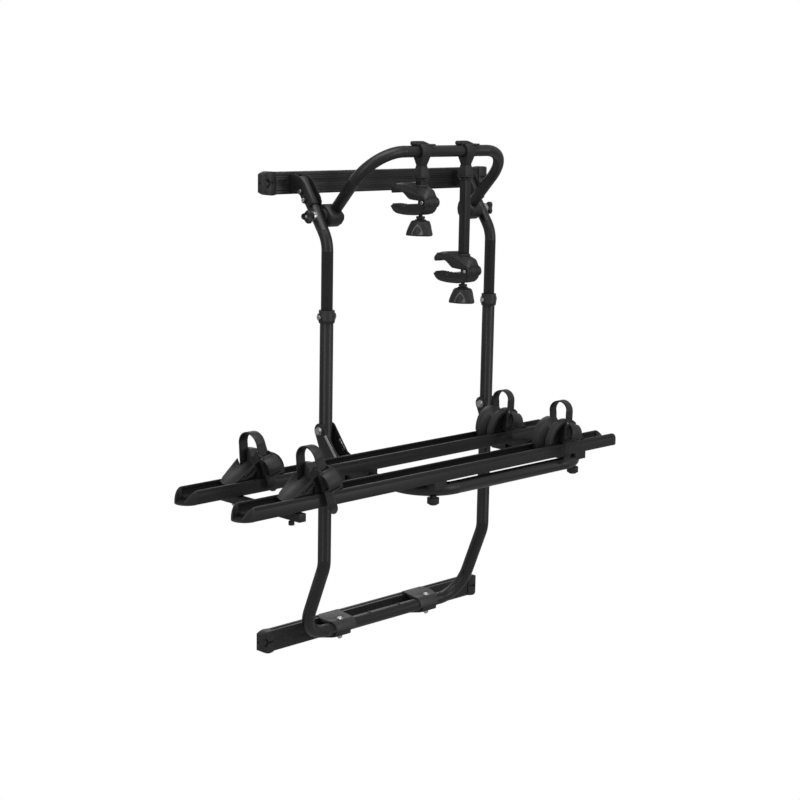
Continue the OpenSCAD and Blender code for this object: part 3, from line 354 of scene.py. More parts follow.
# %% [markdown]
# ## Shapes from outlines
#
# Most moulded pieces start as an outline. A circle with as many corners as the
# outline is added, its corners are moved to their places, and the face is extruded.
# Holes and hollows are cut with a Boolean, and round bodies are spun from a profile.


# %% Outline, rod, box and spin
def arc(centre, radius, start, end, steps=12):
    """Points of an arc in degrees, both ends included."""
    angles = [math.radians(start + (end - start) * i / steps) for i in range(steps + 1)]
    return [(centre[0] + radius * math.cos(a), centre[1] + radius * math.sin(a)) for a in angles]


def on_axis(axis, along, u, v):
    """The point at a distance along an axis, with the outline's two coordinates."""
    return MM * Vector({"X": (along, u, v), "Y": (u, along, v), "Z": (u, v, along)}[axis])


def prism(outline, low, high, axis="X"):
    """An outline in the plane across an axis, extruded from low to high."""
    deselect()
    bpy.ops.mesh.primitive_circle_add(vertices=len(outline), fill_type="NGON")
    piece = bpy.context.object
    for vertex, (u, v) in zip(piece.data.vertices, outline):
        vertex.co = on_axis(axis, low, u, v)
    edit(piece)
    step = on_axis(axis, high, 0, 0) - on_axis(axis, low, 0, 0)
    bpy.ops.mesh.extrude_region_move(TRANSFORM_OT_translate={"value": step})
    bpy.ops.mesh.select_all(action="SELECT")
    bpy.ops.mesh.normals_make_consistent(inside=False)
    leave_edit()
    return piece


def box(low, high):
    outline = [(low[1], low[2]), (high[1], low[2]), (high[1], high[2]), (low[1], high[2])]
    return prism(outline, low[0], high[0])


def rod(radius, start, end, sides=40):
    """A cylinder between two points."""
    start, end = Vector(start) * MM, Vector(end) * MM
    deselect()
    bpy.ops.mesh.primitive_cylinder_add(radius=radius * MM, depth=(end - start).length, vertices=sides)
    piece = bpy.context.object
    turn = (end - start).to_track_quat("Z", "Y").to_matrix().to_4x4()
    piece.data.transform(Matrix.Translation((start + end) / 2) @ turn)
    return piece


def spun(profile, axis_point, axis="Z", steps=64, closed=False):
    """A profile of (radius, height) spun about an axis through a point."""
    deselect()
    bpy.ops.mesh.primitive_circle_add(vertices=len(profile), fill_type="NOTHING")
    piece = bpy.context.object
    for vertex, (r, h) in zip(piece.data.vertices, profile):
        vertex.co = MM * Vector((r, 0, h))
    if not closed:
        mesh = bmesh.new()
        mesh.from_mesh(piece.data)
        mesh.edges.ensure_lookup_table()
        last = {0, len(profile) - 1}
        seam = [e for e in mesh.edges if {v.index for v in e.verts} == last]
        bmesh.ops.delete(mesh, geom=seam, context="EDGES")
        mesh.to_mesh(piece.data)
        mesh.free()
    edit(piece)
    bpy.ops.mesh.spin(steps=steps, angle=2 * math.pi, center=(0, 0, 0), axis=(0, 0, 1))
    bpy.ops.mesh.select_all(action="SELECT")
    bpy.ops.mesh.remove_doubles(threshold=0.000002)
    bpy.ops.mesh.normals_make_consistent(inside=False)
    leave_edit()
    to_x, to_y = Matrix.Rotation(math.pi / 2, 4, "Y"), Matrix.Rotation(-math.pi / 2, 4, "X")
    tip = {"X": to_x, "Y": to_y, "Z": Matrix()}
    piece.data.transform(Matrix.Translation(Vector(axis_point) * MM) @ tip[axis])
    return piece


def boolean(piece, tool, operation="DIFFERENCE"):
    """Cuts a piece with a tool, which is used up."""
    only(piece)
    cut = piece.modifiers.new("cut", "BOOLEAN")
    cut.operation = operation
    cut.solver = "EXACT"
    cut.object = tool
    bpy.ops.object.modifier_apply(modifier=cut.name)
    bpy.data.objects.remove(tool)
    return piece


def joined(pieces, name):
    """Several pieces as one."""
    deselect()
    for piece in pieces:
        piece.select_set(True)
    bpy.context.view_layer.objects.active = pieces[0]
    bpy.ops.object.join()
    pieces[0].name = name
    return pieces[0]


def moved(piece, matrix):
    """Moves a piece's mesh. A mirrored mesh has its faces turned back outwards."""
    piece.data.transform(matrix)
    if matrix.determinant() < 0:
        piece.data.flip_normals()
    return piece


def repeated(piece, count, step):
    """A row of copies, each moved on by one step, as one piece."""
    only(piece)
    row = piece.modifiers.new("row", "ARRAY")
    row.count = count
    row.use_relative_offset = False
    row.use_constant_offset = True
    row.constant_offset_displace = Vector(step) * MM
    bpy.ops.object.modifier_apply(modifier=row.name)
    return piece


# %% [markdown]
# ## Wheel holders
#
# A holder is a saddle on the rail. Its outer half is a trough that takes the tyre,
# between two flanks that lean apart. Its inner half is a pair of rounded shells
# with a groove between them. The strap loops over the tyre and its toothed end runs
# through a buckle on the near side.

# %% Sizes of a holder
HOLDER_HALF = 426
RAIL_HALF_GAP = 24.6
TROUGH_R = 34
SHELL_CENTRE = (-14, -2)
SHELL_R = 63
STRAP_W = 24
STRAP_T = 3.2
LOOP_R = 25.5
LOOP_Z = 76.9
LOOP_SWELL = 6
FAR_LEG_Y = 22
NEAR_TILT = math.radians(13)
NEAR_LEAN = math.radians(-9.2)
LEG_RUN = {"front_rail": 126, "back_rail": 110}
TOOTH = 2.6
TEETH_BELOW = -66
PIN_Y = -8
PIN_Z = -29


def flared_section():
    """What a holder may fill across the rail: narrow in the trench, wider above it."""
    right = [(RAIL_HALF_GAP, -15), (RAIL_HALF_GAP, 0.4), (27.5, 4), (33.5, 48), (33, 70)]
    left = [(-y, z) for y, z in reversed(right)]
    return prism(right + left, -100, 80)


def holder_trough():
    side = [(-3, -14), (66, -14), (71, -4), (66, 0), (8, 44), (3, 46), (-3, 44)]
    trough = boolean(prism(side, -40, 40, "Y"), flared_section(), "INTERSECT")
    trough = boolean(trough, rod(TROUGH_R, (117.6, 0, -1.1), (-12, 0, 72.3), 96))
    for s in (-1, 1):
        under = [(3, 0.4), (40, 0.4), (4, 17)]
        trough = boolean(trough, prism(under, *sorted((s * 18, s * 60)), "Y"))
    return trough


def flank_latch(s):
    """A slotted bar on a flank, along the trough's edge."""
    bar = box((-17, -2.6, -6), (17, 2.6, 6))
    bar = boolean(bar, box((-12, -9, -2.4), (14, 9, 2.6)))
    turn = Matrix.Rotation(math.radians(37.2), 4, "Y")
    lean = Matrix.Rotation(math.radians(s * -7), 4, "X")
    return moved(bar, Matrix.Translation(Vector((27, s * 29.6, 20)) * MM) @ lean @ turn)


def holder_shells():
    side = [(-77, -14), *arc(SHELL_CENTRE, SHELL_R, 180, 84), (-3, 59), (-3, -14)]
    shells = boolean(prism(side, -40, 40, "Y"), flared_section(), "INTERSECT")
    groove = [(SHELL_R - 17, 0), (SHELL_R + 3, 15), (SHELL_R + 3, -15)]
    place = (SHELL_CENTRE[0], 0, SHELL_CENTRE[1])
    shells = boolean(shells, spun(groove, place, "Y", closed=True))
    shells = boolean(shells, box((-90, -1.6, -12), (-24, 1.6, 36)))
    for s in (-1, 1):
        arch = [(-22, 1), *arc(SHELL_CENTRE, SHELL_R - 10, 177, 100, 10)]
        shells = boolean(shells, prism(arch, *sorted((s * 17, s * 60)), "Y"))
    return shells


def holder_body():
    halves = []
    for half in (holder_trough(), holder_shells()):
        # Room for the strap's two legs
        half = boolean(half, box((-14, 18, 4), (14, 60, 80)))
        half = boolean(half, box((-14, -60, 4), (14, -24, 80)))
        halves.append(round_edges(half, 0.9))
    struts = [box((-24, s * 27 - 1.6, 0.4), (-15, s * 27 + 1.6, 56)) for s in (-1, 1)]
    return joined([*halves, *struts, flank_latch(-1), flank_latch(1)], "holder")


# %% The strap: band, teeth and tail
def near_leg():
    """From the leg's own frame, with Z up the strap, to the holder's frame."""
    start = Vector((-0.222 * LOOP_R * math.pi / 4, FAR_LEG_Y - 2 * LOOP_R, LOOP_Z)) * MM
    tilt = Matrix.Rotation(NEAR_TILT, 4, "Y") @ Matrix.Rotation(NEAR_LEAN, 4, "X")
    return Matrix.Translation(start) @ tilt


def band_path():
    """Middle line of the band, from the far leg's foot over the swollen loop."""
    path = [(0, FAR_LEG_Y + LOOP_SWELL * math.sin(i * math.pi / 12) - 1, 6 + 11.8 * i) for i in range(6)]
    half = LOOP_R + LOOP_SWELL / 2
    for i in range(25):
        a = math.pi * i / 24
        drift = max(0, a - math.pi / 2)
        x = -0.222 * LOOP_R * drift**2 / math.pi
        path.append((x, FAR_LEG_Y - 2 * LOOP_R + half + half * math.cos(a), LOOP_Z + LOOP_R * math.sin(a)))
    return [Vector(p) for p in path]


def strap_band():
    """A grid whose rows are moved along the path, thickened to the strap's gauge."""
    path = band_path()
    across_far = Vector((STRAP_W / 2, 0, 0))
    across_near = near_leg().to_3x3() @ across_far
    deselect()
    bpy.ops.mesh.primitive_grid_add(x_subdivisions=len(path) - 1, y_subdivisions=1)
    band = bpy.context.object
    columns = sorted({round(v.co.x, 5) for v in band.data.vertices})
    for vertex in band.data.vertices:
        i = columns.index(round(vertex.co.x, 5))
        share = max(0.0, (i - 17) / (len(path) - 18))
        across = across_far.lerp(across_near, share)
        vertex.co = (path[i] + across * (1 if vertex.co.y > 0 else -1)) * MM
    only(band)
    gauge = band.modifiers.new("gauge", "SOLIDIFY")
    gauge.thickness = STRAP_T * MM
    gauge.offset = 0
    bpy.ops.object.modifier_apply(modifier=gauge.name)
    edit(band)
    bpy.ops.mesh.normals_make_consistent(inside=False)
    leave_edit()
    return band


def strap_leg(run):
    w, t = STRAP_W / 2, STRAP_T / 2
    leg = box((-w, -t, -run + w), (w, t, 1))
    tip = rod(w, (0, -t, -run + w), (0, t, -run + w))
    above = int(24 / TOOTH)
    below = int((run - 72) / TOOTH)

    def teeth(top, count):
        tooth = box((-w + 3, -t - 1, top - 1.2), (w - 3, 0, top))
        return repeated(tooth, count, (0, 0, -TOOTH))

    return moved(joined([leg, tip, teeth(0, above), teeth(TEETH_BELOW, below)], "leg"), near_leg())


def buckle():
    """Folded sheet behind the strap, with two cheeks that carry the lever's pin."""
    w = STRAP_W / 2 + 0.4
    cheek = [(4.2, -18), (-3, -18), (-11.5, -24), (-13, -32), (-6, -41), (-4.5, -57), (-8, -64),
             (-6, -70), (4.2, -70)]
    cheeks = [prism(cheek, *sorted((s * w, s * (w + 2.4)))) for s in (-1, 1)]
    back = box((-w - 2.4, STRAP_T / 2 + 0.3, -70), (w + 2.4, 4.2, -18))
    catch = box((-w, -9, -70), (w, -STRAP_T / 2 - 1.2, -67.6))
    frame_piece = joined([*cheeks, back, catch], "buckle")
    return moved(round_edges(frame_piece, 0.5), near_leg())


def buckle_lever():
    """A wide curved plate, rolled round its pin at the top."""
    def plate(width, start, end):
        outer = arc((6, -24), 27.5, start, end, 16)
        inner = arc((6, -24), 24.6, end, start, 16)
        return prism(outer + inner, -width, width)

    eye = rod(4.5, (-11.6, 0, 0), (11.6, 0, 0))
    lip = moved(box((-16, -5, -1.3), (16, 0, 1.3)), Matrix.Translation(Vector((0, -15.2, -40.6)) * MM))
    lever = joined([plate(11.6, 96, 140), plate(18.5, 118, 216), eye, lip], "lever")
    pin_place = Matrix.Translation(Vector((0, PIN_Y, PIN_Z)) * MM)
    return moved(round_edges(lever, 0.7), near_leg() @ pin_place)


def lever_pin():
    reach = STRAP_W / 2 + 3.4
    pin = rod(2.5, (-reach, PIN_Y, PIN_Z), (reach, PIN_Y, PIN_Z), 24)
    return moved(round_edges(pin, 0.4), near_leg())


# %% Four holders, each with its strap and lever
def holder_place(rail, sx):
    """Where a holder stands: the middle of a rail's top, out to one side."""
    low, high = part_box(rail)
    middle = Vector(((low[0] + high[0]) / 2 + sx * HOLDER_HALF * MM, (low[1] + high[1]) / 2, high[2]))
    return Matrix.Translation(middle) @ Matrix.Diagonal((sx, 1, 1, 1))


def add_holder(rail, sx, tag):
    place = holder_place(rail, sx)
    wear(moved(holder_body(), place), "holder_" + tag)
    strap = joined([round_edges(strap_band(), 0.4), strap_leg(LEG_RUN[rail])], "strap")
    wear(moved(strap, place), "strap_" + tag)
    wear(moved(buckle(), place), "strap_" + tag, FINISHES["moulding"], replaces=False)
    wear(moved(lever_pin(), place), "buckle_lever_" + tag, FINISHES["zinc"], replaces=False)
    wear(moved(buckle_lever(), place), "buckle_lever_" + tag, FINISHES["moulding"])


for row in ("front", "back"):
    for sx, end in ((-1, "left"), (1, "right")):
        add_holder(row + "_rail", sx, row + "_" + end)
        print("holder with strap:", row, end)

# %% [markdown]
# ## Bike arms
#
# Each arm hooks over the arch's bar and ends in a pair of jaws for a bicycle's
# frame. The jaws are beaks with toothed tips, and the lower one has dished flanks.
# The grip knob is a turned body whose radius swells into three lobes, with a pale
# pointed panel between each two.

# %% Sizes of an arm
HINGE_Y = -27
BARREL_R = 13
BAR_R = 14.5
JAW_HALF = 21
LOBE_TURN = math.radians(28)


def arm_places(tag):
    """Frames on the bar's axis and at the jaw hinge's height, from the arm's tube."""
    low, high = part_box(tag + "_arm_tube")
    bar = Vector(((low[0] + high[0]) / 2, (low[1] + high[1]) / 2, high[2] + 41 * MM))
    hinge = Vector((bar.x, bar.y, low[2] - 26 * MM))
    return Matrix.Translation(bar), Matrix.Translation(hinge)


def scaled_along(piece, rule):
    """Moves each corner to where a rule puts it, in millimetres."""
    for vertex in piece.data.vertices:
        vertex.co = Vector(rule(*(vertex.co / MM))) * MM
    return piece


# %% The clamp on the bar
def hook_block():
    """A hook round the bar, narrow at its neck and wide over the bar."""
    side = [(-8.3, -35), (8.3, -35), (15, -16), (19.7, -2), (19, 10), (13, 18), (-13, 18), (-19.5, 10),
            (-20.5, -4), (-15, -18)]
    block = boolean(prism(side, -13, 13), rod(BAR_R, (-40, 0, 0), (40, 0, 0), 64))

    def widen(x, y, z):
        return x * (0.82 + 0.5 * max(0, min(1, (z + 35) / 46))), y, z

    return round_edges(scaled_along(block, widen), 1.6, 3)


def tapered_collar():
    collar = box((-14.6, -14.6, -62), (14.6, 14.6, -34))

    def narrow(x, y, z):
        k = 0.7 if z > -40 else 1
        return x * k, y * k, z

    return round_edges(scaled_along(collar, narrow), 1.4, 3)


def arm_clamp():
    lid_outline = [(-14, -12), (4, -17), (26, -20), (32, -16), (28, 2), (-14, 10)]
    lid = round_edges(prism(lid_outline, 13, 18, "Z"), 1.2)
    flange = spun([(0, -61.6), (20.4, -62), (20.4, -64), (16, -65), (13, -66), (13, -68), (16.5, -68.4),
                   (16.5, -70.6), (14, -71.6), (0, -71.6)], (0, 0, 0))
    return joined([hook_block(), tapered_collar(), lid, round_edges(flange, 0.4)], "clamp")


def clamp_lever():
    bar = round_edges(rod(5.6, (-35, 1, 19.5), (-1, 1, 19.5)), 1.6, 3)
    web = prism([(-22, 12), (-4, 12), (24, 15.6), (24, 17.4), (-1, 25), (-22, 25)], -6, 7, "Y")
    return joined([bar, round_edges(web, 1.2)], "clamp_lever")


# %% The jaws
UPPER_BEAK = [(-38, 3), *arc((-21, 16), 17, 200, 115, 8), (-14, 36), (4, 43), (16, 46), (29, 46.6),
              (48, 44.6), (66, 43), (77, 40), (84, 34), (88, 29.5), (89.6, 25.5), (87, 17.6), (84, 21.4),
              (80.6, 18), (76.6, 22), (72.6, 18.8), (68.6, 23), (64.4, 20.6), (58, 24), (50, 22.6),
              (42, 19), (34, 13.6), (27, 8.6), (20, 5.6), (5, 4.6), (-10, 4), (-14.2, 2.2), (-15, -1)]
LOWER_BEAK = [(-38, -3), (-34, -16), (-28, -23), (-20, -28), (-5, -31.4), (11, -32.4), (27, -33),
              (42, -33), (57, -32), (66, -31), (74, -29), (82, -24.6), (88, -18), (91, -12.6), (86, -12),
              (82, -7), (77, -11.4), (73.5, -7), (69, -11.6), (65, -7.6), (60, -11.8), (54.5, -8.4),
              (48, -13.2), (41, -13.4), (34.4, -10.6), (28, -7.4), (22, -5.6), (0, -5), (-11, -5),
              (-14.2, -2.2), (-15, 1)]
UPPER_RIM = [(-38, 8), (-30, 14.4), (-14, 21), (6, 31), (31, 38.7), (56, 41), (76, 40)]


def rim_height(y):
    """Height of the upper jaw's flank at a place along it, between the measured points."""
    for (y0, z0), (y1, z1) in zip(UPPER_RIM, UPPER_RIM[1:]):
        if y <= y1:
            return z0 + (z1 - z0) * max(0, y - y0) / (y1 - y0)
    return 60


def dish_flanks(piece):
    """Sinks the middle of both flanks, inside a narrow border."""
    edit(piece)
    bpy.ops.mesh.select_all(action="DESELECT")
    leave_edit()
    for face in piece.data.polygons:
        face.select = abs(face.normal.x) > 0.99 and abs(face.center.x) > (JAW_HALF - 0.1) * MM
    only(piece)
    bpy.ops.object.mode_set(mode="EDIT")
    bpy.ops.mesh.inset(thickness=1 * MM, depth=-1.6 * MM)
    leave_edit()


def beak(outline, cuts, rim=False):
    """A beak from its side outline, rounded, cut and narrowed to its tip.

    The upper beak's flanks slope up to a rim, and the lower beak's are dished."""
    piece = round_edges(prism(outline, -JAW_HALF, JAW_HALF), 0.9, 3)
    for cut in cuts:
        piece = boolean(piece, cut)
    for x in (-12, 12):
        edit(piece)
        bpy.ops.mesh.bisect(plane_co=(x * MM, 0, 0), plane_no=(1, 0, 0))
        leave_edit()

    def slope_flank(x, y, z):
        return x, y, min(z, rim_height(y)) if abs(x) > 19 and z > 8 else z

    if rim:
        scaled_along(piece, slope_flank)
    else:
        dish_flanks(piece)

    def narrow(x, y, z):
        return x * (1 - 0.3 * max(0, min(1, (y - 5) / 80))), y, z

    return scaled_along(piece, narrow)


def upper_jaw():
    cuts = [rod(14.4, (0, 0, -20), (0, 0, 80), 48)]
    cuts += [rod(BARREL_R + 0.4, (s * 9, HINGE_Y, 0), (s * 60, HINGE_Y, 0), 48) for s in (-1, 1)]
    middle = round_edges(rod(BARREL_R, (-9, HINGE_Y, 0), (9, HINGE_Y, 0), 48), 1)
    seat_ring = [(10.4, 26), (14.6, 26), (17.4, 40), (16, 42), (14, 41), (10.4, 33)]
    seat = spun(seat_ring, (0, 0, 0), closed=True)
    return joined([beak(UPPER_BEAK, cuts, rim=True), middle, round_edges(seat, 0.5)], "upper_jaw")


def lower_jaw():
    barrel_room = rod(BARREL_R + 0.4, (-9.4, HINGE_Y, 0), (9.4, HINGE_Y, 0), 48)
    screw_room = box((-6.5, -13.5, -60), (6.5, 12, 20))
    parts = [beak(LOWER_BEAK, [barrel_room, screw_room])]
    for s in (-1, 1):
        ring = [(6.5, 9.4), (BARREL_R, 9.4), (BARREL_R, 12), (12.2, 12.4), (12.2, 14), (BARREL_R, 14.4),
                (BARREL_R, 18), (12.2, 18.4), (12.2, 20), (BARREL_R, 20.4), (BARREL_R, 25), (8.6, 25),
                (8.6, 22.6), (6.5, 22.6)]
        end = spun(ring, (0, HINGE_Y, 0), "X", closed=True)
        if s < 0:
            moved(end, Matrix.Diagonal((-1, 1, 1, 1)))
        parts.append(round_edges(end, 0.5))
    return joined(parts, "lower_jaw")


def hinge_bolt():
    shank = rod(4, (-25, HINGE_Y, 0), (25, HINGE_Y, 0), 24)
    heads = [round_edges(rod(5, (s * 22.6, HINGE_Y, 0), (s * 26, HINGE_Y, 0), 24), 1.4, 3) for s in (-1, 1)]
    return joined([shank, *heads], "hinge_bolt")


# %% The grip knob and its panels
def knob_face(z):
    """Radius of the knob's body at a height below the hinge."""
    return 23.5 + 9 * max(0, min(1, (-48 - z) / 30)) ** 0.9


def lobe_swell(turn):
    """How far the body swells or sinks at an angle from a lobe's middle."""
    crest = 0.5 + 0.5 * math.cos(3 * turn)
    return 0.19 * crest**3 - 0.08 + 0.03 * (1 - crest) ** 3


def lobe_share(z):
    """How much of the swell there is at a height: none at the neck, all near the rim."""
    return max(0, min(1, (-45 - z) / 20))


def lobed(x, y, z):
    """Swells the lower body into three lobes."""
    k = 1 + lobe_share(z) * lobe_swell(math.atan2(y, x) - LOBE_TURN)
    return x * k, y * k, z


def grip_knob():
    body = [(knob_face(z), z) for z in (-50, -55, -60, -65, -70, -75, -79)]
    profile = [(0, -35), (10.5, -35), (11, -36), (11, -40.4), (9, -41), (9, -42), (13.4, -42.4),
               (14, -44.6), (20, -45.4), (22.6, -47), *body, (31.6, -81.4), (28, -82), (24, -80),
               (20, -62), (0, -60)]
    knob = scaled_along(spun(profile, (0, 0, 0), steps=96), lobed)
    screw = rod(5, (0, 0, -40), (0, 0, 10), 32)
    return joined([round_edges(knob, 0.6), screw], "grip_knob")


def ogive_panel(turn):
    """A pointed arch that follows the knob's face."""
    right = [(15, -78), (14.6, -72), (12, -64.5), (7, -57.5)]
    outline = [*right, (0, -52), *[(-u, v) for u, v in reversed(right)]]
    panel = prism(outline, -2, 0.7)
    edit(panel)
    bpy.ops.mesh.subdivide(number_cuts=2)
    leave_edit()

    def settle(x, y, z):
        a = y / 30
        r = knob_face(z) * (1 + lobe_share(z) * lobe_swell(a + math.pi / 3)) + x
        return r * math.cos(a), r * math.sin(a), z

    return moved(round_edges(scaled_along(panel, settle), 0.4), Matrix.Rotation(turn, 4, "Z"))


# %% Two arms
PANEL_GREY = nylon("panel_grey", (0.11, 0.112, 0.115), 0.5)


def add_arm(tag):
    on_bar, on_hinge = arm_places(tag)
    wear(moved(arm_clamp(), on_bar), tag + "_arm_clamp")
    wear(moved(clamp_lever(), on_bar), tag + "_clamp_lever")
    wear(moved(upper_jaw(), on_hinge), tag + "_upper_jaw")
    wear(moved(lower_jaw(), on_hinge), tag + "_lower_jaw")
    wear(moved(hinge_bolt(), on_hinge), tag + "_lower_jaw", FINISHES["zinc"], replaces=False)
    wear(moved(grip_knob(), on_hinge), tag + "_grip_knob")
    for i in range(3):
        panel = ogive_panel(LOBE_TURN + math.pi / 3 + i * math.tau / 3)
        wear(moved(panel, on_hinge), tag + "_grip_knob", PANEL_GREY, replaces=False)


for tag in ("short", "long"):
    add_arm(tag)
    print("bike arm:", tag)

# %% [markdown]
# ## Ends and joints of the frame
#
# The small mouldings give the carrier its outline: caps on the mounting rails,
# scooped noses on the wheel rails, sheet hooks over the top rail, and the elbow
# knuckles and knobs of the arch.


# %% End caps and noses
# The photograph's mounting rails reach further right than left of the uprights
CAP_REACH = 22
RAIL_TIP_X = 355
FORK_X = -39


def end_cap(outer_x, centre_z, s):
    """A cap with cut corners, a swollen middle and a recess like a lying fork."""
    front = [(-60, 27.4), (-52, 28.4), (-44, 29), (-36, 28), (-28, 25), (-22, 21.8)]
    front += [(x, -z) for x, z in reversed(front)]
    plan = [(-60, 0), (-22, 0), (-22, -14.5), (-26, -20), (-33, -24.8), (-42, -26.3), (-52, -25.6),
            (-60, -23.4)]
    cap = boolean(prism(front, -27, 0, "Y"), prism(plan, -40, 40, "Z"), "INTERSECT")
    for turn, reach in ((180, 18), (52, 13), (-52, 13)):
        arm = moved(box((0, -30, -2.9), (reach, -19.6, 2.9)), Matrix.Rotation(math.radians(-turn), 4, "Y"))
        cap = boolean(cap, moved(arm, Matrix.Translation((FORK_X * MM, 0, 0))))
    cap = boolean(cap, rod(4, (FORK_X, -30, 0), (FORK_X, -18, 0)))
    cap = boolean(cap, rod(2.6, (-27, -8, 0), (-16, -8, 0)))
    place = Matrix.Translation((outer_x, 0, centre_z)) @ Matrix.Diagonal((s, 1, 1, 1))
    return moved(round_edges(cap, 1.6, 3), place)


def add_caps(node):
    low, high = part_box(node)
    middle = (low[2] + high[2]) / 2
    caps = [end_cap(low[0], middle, -1), end_cap(high[0] + CAP_REACH * MM, middle, 1)]
    wear(joined(caps, node), node)


def rail_nose(place):
    """A scoop round the trench's end, whose walls fall steeply to a thin lip."""
    plan = [(-0.2, -29.4), *arc((3, 0), 29.4, -90, 90, 28), (-0.2, 29.4)]
    nose = prism(plan, 0, 31.6, "Z")
    side = [(-7, -1), (40, -1), (40, 2.6), (28, 3), (26, 4.4), (23.6, 8.6), (20, 14.8), (15.6, 20.8),
            (11, 25.6), (6, 29.2), (1, 31.2), (-7, 31.8)]
    nose = boolean(nose, prism(side, -40, 40, "Y"), "INTERSECT")
    bowl = prism([(-9, -24.8), *arc((3, 0), 25, -90, 90, 28), (-9, 24.8)], 2.4, 60, "Z")
    lip = prism([(20, -24.6), *arc((3, 0), 33, -48, 48, 12), (20, 24.6)], 1.8, 60, "Z")
    lip = boolean(lip, box((-9, -40, 0), (24, 40, 70)))
    scoop = round_edges(boolean(boolean(nose, bowl), lip), 0.8)
    riser = box((-0.2, -25, 1), (1.6, 25, 10.2))
    return moved(joined([scoop, riser], "nose"), place)


def add_noses():
    noses = []
    for rail in ("front_rail", "back_rail"):
        low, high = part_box(rail)
        for s, x in ((-1, low[0]), (1, high[0])):
            floor_end = Matrix.Translation((x, (low[1] + high[1]) / 2, low[2]))
            noses.append(rail_nose(floor_end @ Matrix.Diagonal((s, 1, 1, 1))))
    wear(joined(noses, "noses"), "rail_noses")


# %% Hooks over the top rail
SLANT = math.radians(-34.51)
SLANT_RUN = 174.7
TUBE_X = 292.3
TUBE_Y = -144
BEND_DROP = 133


def upper_bend(s):
    """Where an upper tube's slant starts, with Z up the slant."""
    low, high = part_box("top_rail")
    z = (low[2] + high[2]) / 2 - BEND_DROP * MM
    return Matrix.Translation((s * TUBE_X * MM, TUBE_Y * MM, z)) @ Matrix.Rotation(SLANT, 4, "X")


def hook_plate(x):
    outline = [(-21, -19), (-21, 19), (-33, 20.4), (-43, 22.5), (-54, 19.6), (-64, 14.4), (-73, 7.6),
               (-80, 0.6), (-90, -14), (-100, -30), (-104.5, -41.8), (-103, -48), (-98, -52.4),
               (-91, -53.6), (-84.5, -50.8), (-72.4, -43.7), (-62, -27), (-50, -21), (-36, -19)]
    return round_edges(prism(outline, x, x + 2.6), 0.7)


def add_hook(s, node):
    low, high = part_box("top_rail")
    plates_at = Matrix.Translation((s * TUBE_X * MM, 0, (low[2] + high[2]) / 2))
    plates = [moved(hook_plate(x), plates_at) for x in (-17.4, 14.8)]
    sleeve = boolean(rod(17.4, (0, 0, 96), (0, 0, 168), 64), rod(14.7, (0, 0, 60), (0, 0, 200), 64))
    sleeve = boolean(sleeve, box((-30, 2, 60), (30, 40, 200)))
    heights = (SLANT_RUN - 36, SLANT_RUN - 60)
    bosses = [rod(8, (x, 0, z), (x + 3, 0, z), 32) for x in (-20.2, 17.2) for z in heights]
    on_tube = [moved(p, upper_bend(s)) for p in (round_edges(sleeve, 0.7), *bosses)]
    wear(joined([*plates, *on_tube], node), node)


# %% Knuckles and knobs of the arch
PIVOT_UP = 69
KNOB_X = 312.9


def arch_pivot(s):
    """The arch's pivot axis, where it crosses an upper tube's slant."""
    slant = upper_bend(s) @ Vector((0, 0, PIVOT_UP * MM))
    return Matrix.Translation((0, slant.y, slant.z)) @ Matrix.Diagonal((s, 1, 1, 1))


def knuckle():
    """A chunky elbow with a flat top, open where the arch's tube goes in."""
    side = [(18, 23), (11, 27.6), (-5.5, 28.3), (-33, 2.5), (-31, -9), (-23, -19.5), (-10, -26.6), (4, -28),
            (16, -23.4), (24, -13), (26.5, 1), (23.6, 14)]
    body = round_edges(prism(side, 228, 271.5), 5.5, 4)
    cheek = round_edges(rod(17, (262, 0, 0), (277.4, 0, 0), 56), 1.5, 3)
    return joined([body, cheek], "knuckle")


def knuckle_bolt():
    return round_edges(rod(4.6, (270, 13, 3), (274.6, 13, 3), 24), 1.6, 3)


def arch_knob():
    """A three-lobed knob with a sunk face."""
    rim = 14.2
    profile = [(0, -6), (6.6, -6), (6.6, 2), (rim - 3, 3.4), (rim, 6), (rim, 14), (rim - 2, 16.6),
               (rim - 4.6, 16.6), (rim - 5.6, 11), (0, 11)]
    knob = spun(profile, (0, 0, 0), steps=90)

    def three(x, y, z):
        k = 1 + 0.26 * math.cos(3 * (math.atan2(y, x) - math.pi / 2)) * max(0, min(1, (z - 2) / 4))
        return x * k, y * k, z

    knob = round_edges(scaled_along(knob, three), 0.6)
    return moved(knob, Matrix.Translation((KNOB_X * MM, 0, 0)) @ Matrix.Rotation(math.pi / 2, 4, "Y"))


for s, side in ((-1, "left"), (1, "right")):
    add_hook(s, "hook_" + side)
    wear(moved(knuckle(), arch_pivot(s)), "arch_knuckle_" + side)
    wear(moved(knuckle_bolt(), arch_pivot(s)), "arch_knuckle_" + side, FINISHES["zinc"], replaces=False)
    wear(moved(arch_knob(), arch_pivot(s)), "arch_knob_" + side)
add_caps("top_rail_caps")
add_caps("bottom_rail_caps")
add_noses()
OWN_SHAPES = ("holder_", "strap_", "buckle_", "hook_l", "hook_r", "arch_kn", "rail_noses")
ARM_SHAPES = ("_clamp", "_lever", "_jaw", "_knob")
MODELLED = {n for n in frame["nodes"] if n.startswith(OWN_SHAPES) or n.endswith("rail_caps")}
MODELLED |= {n for n in frame["nodes"] if n.startswith(("short_", "long_")) and n.endswith(ARM_SHAPES)}
print("own shapes for", len(MODELLED), "nodes")

# %% Plain inner plates and bare strips of the platform's arms
SLOT_LEAN = math.radians(-40)


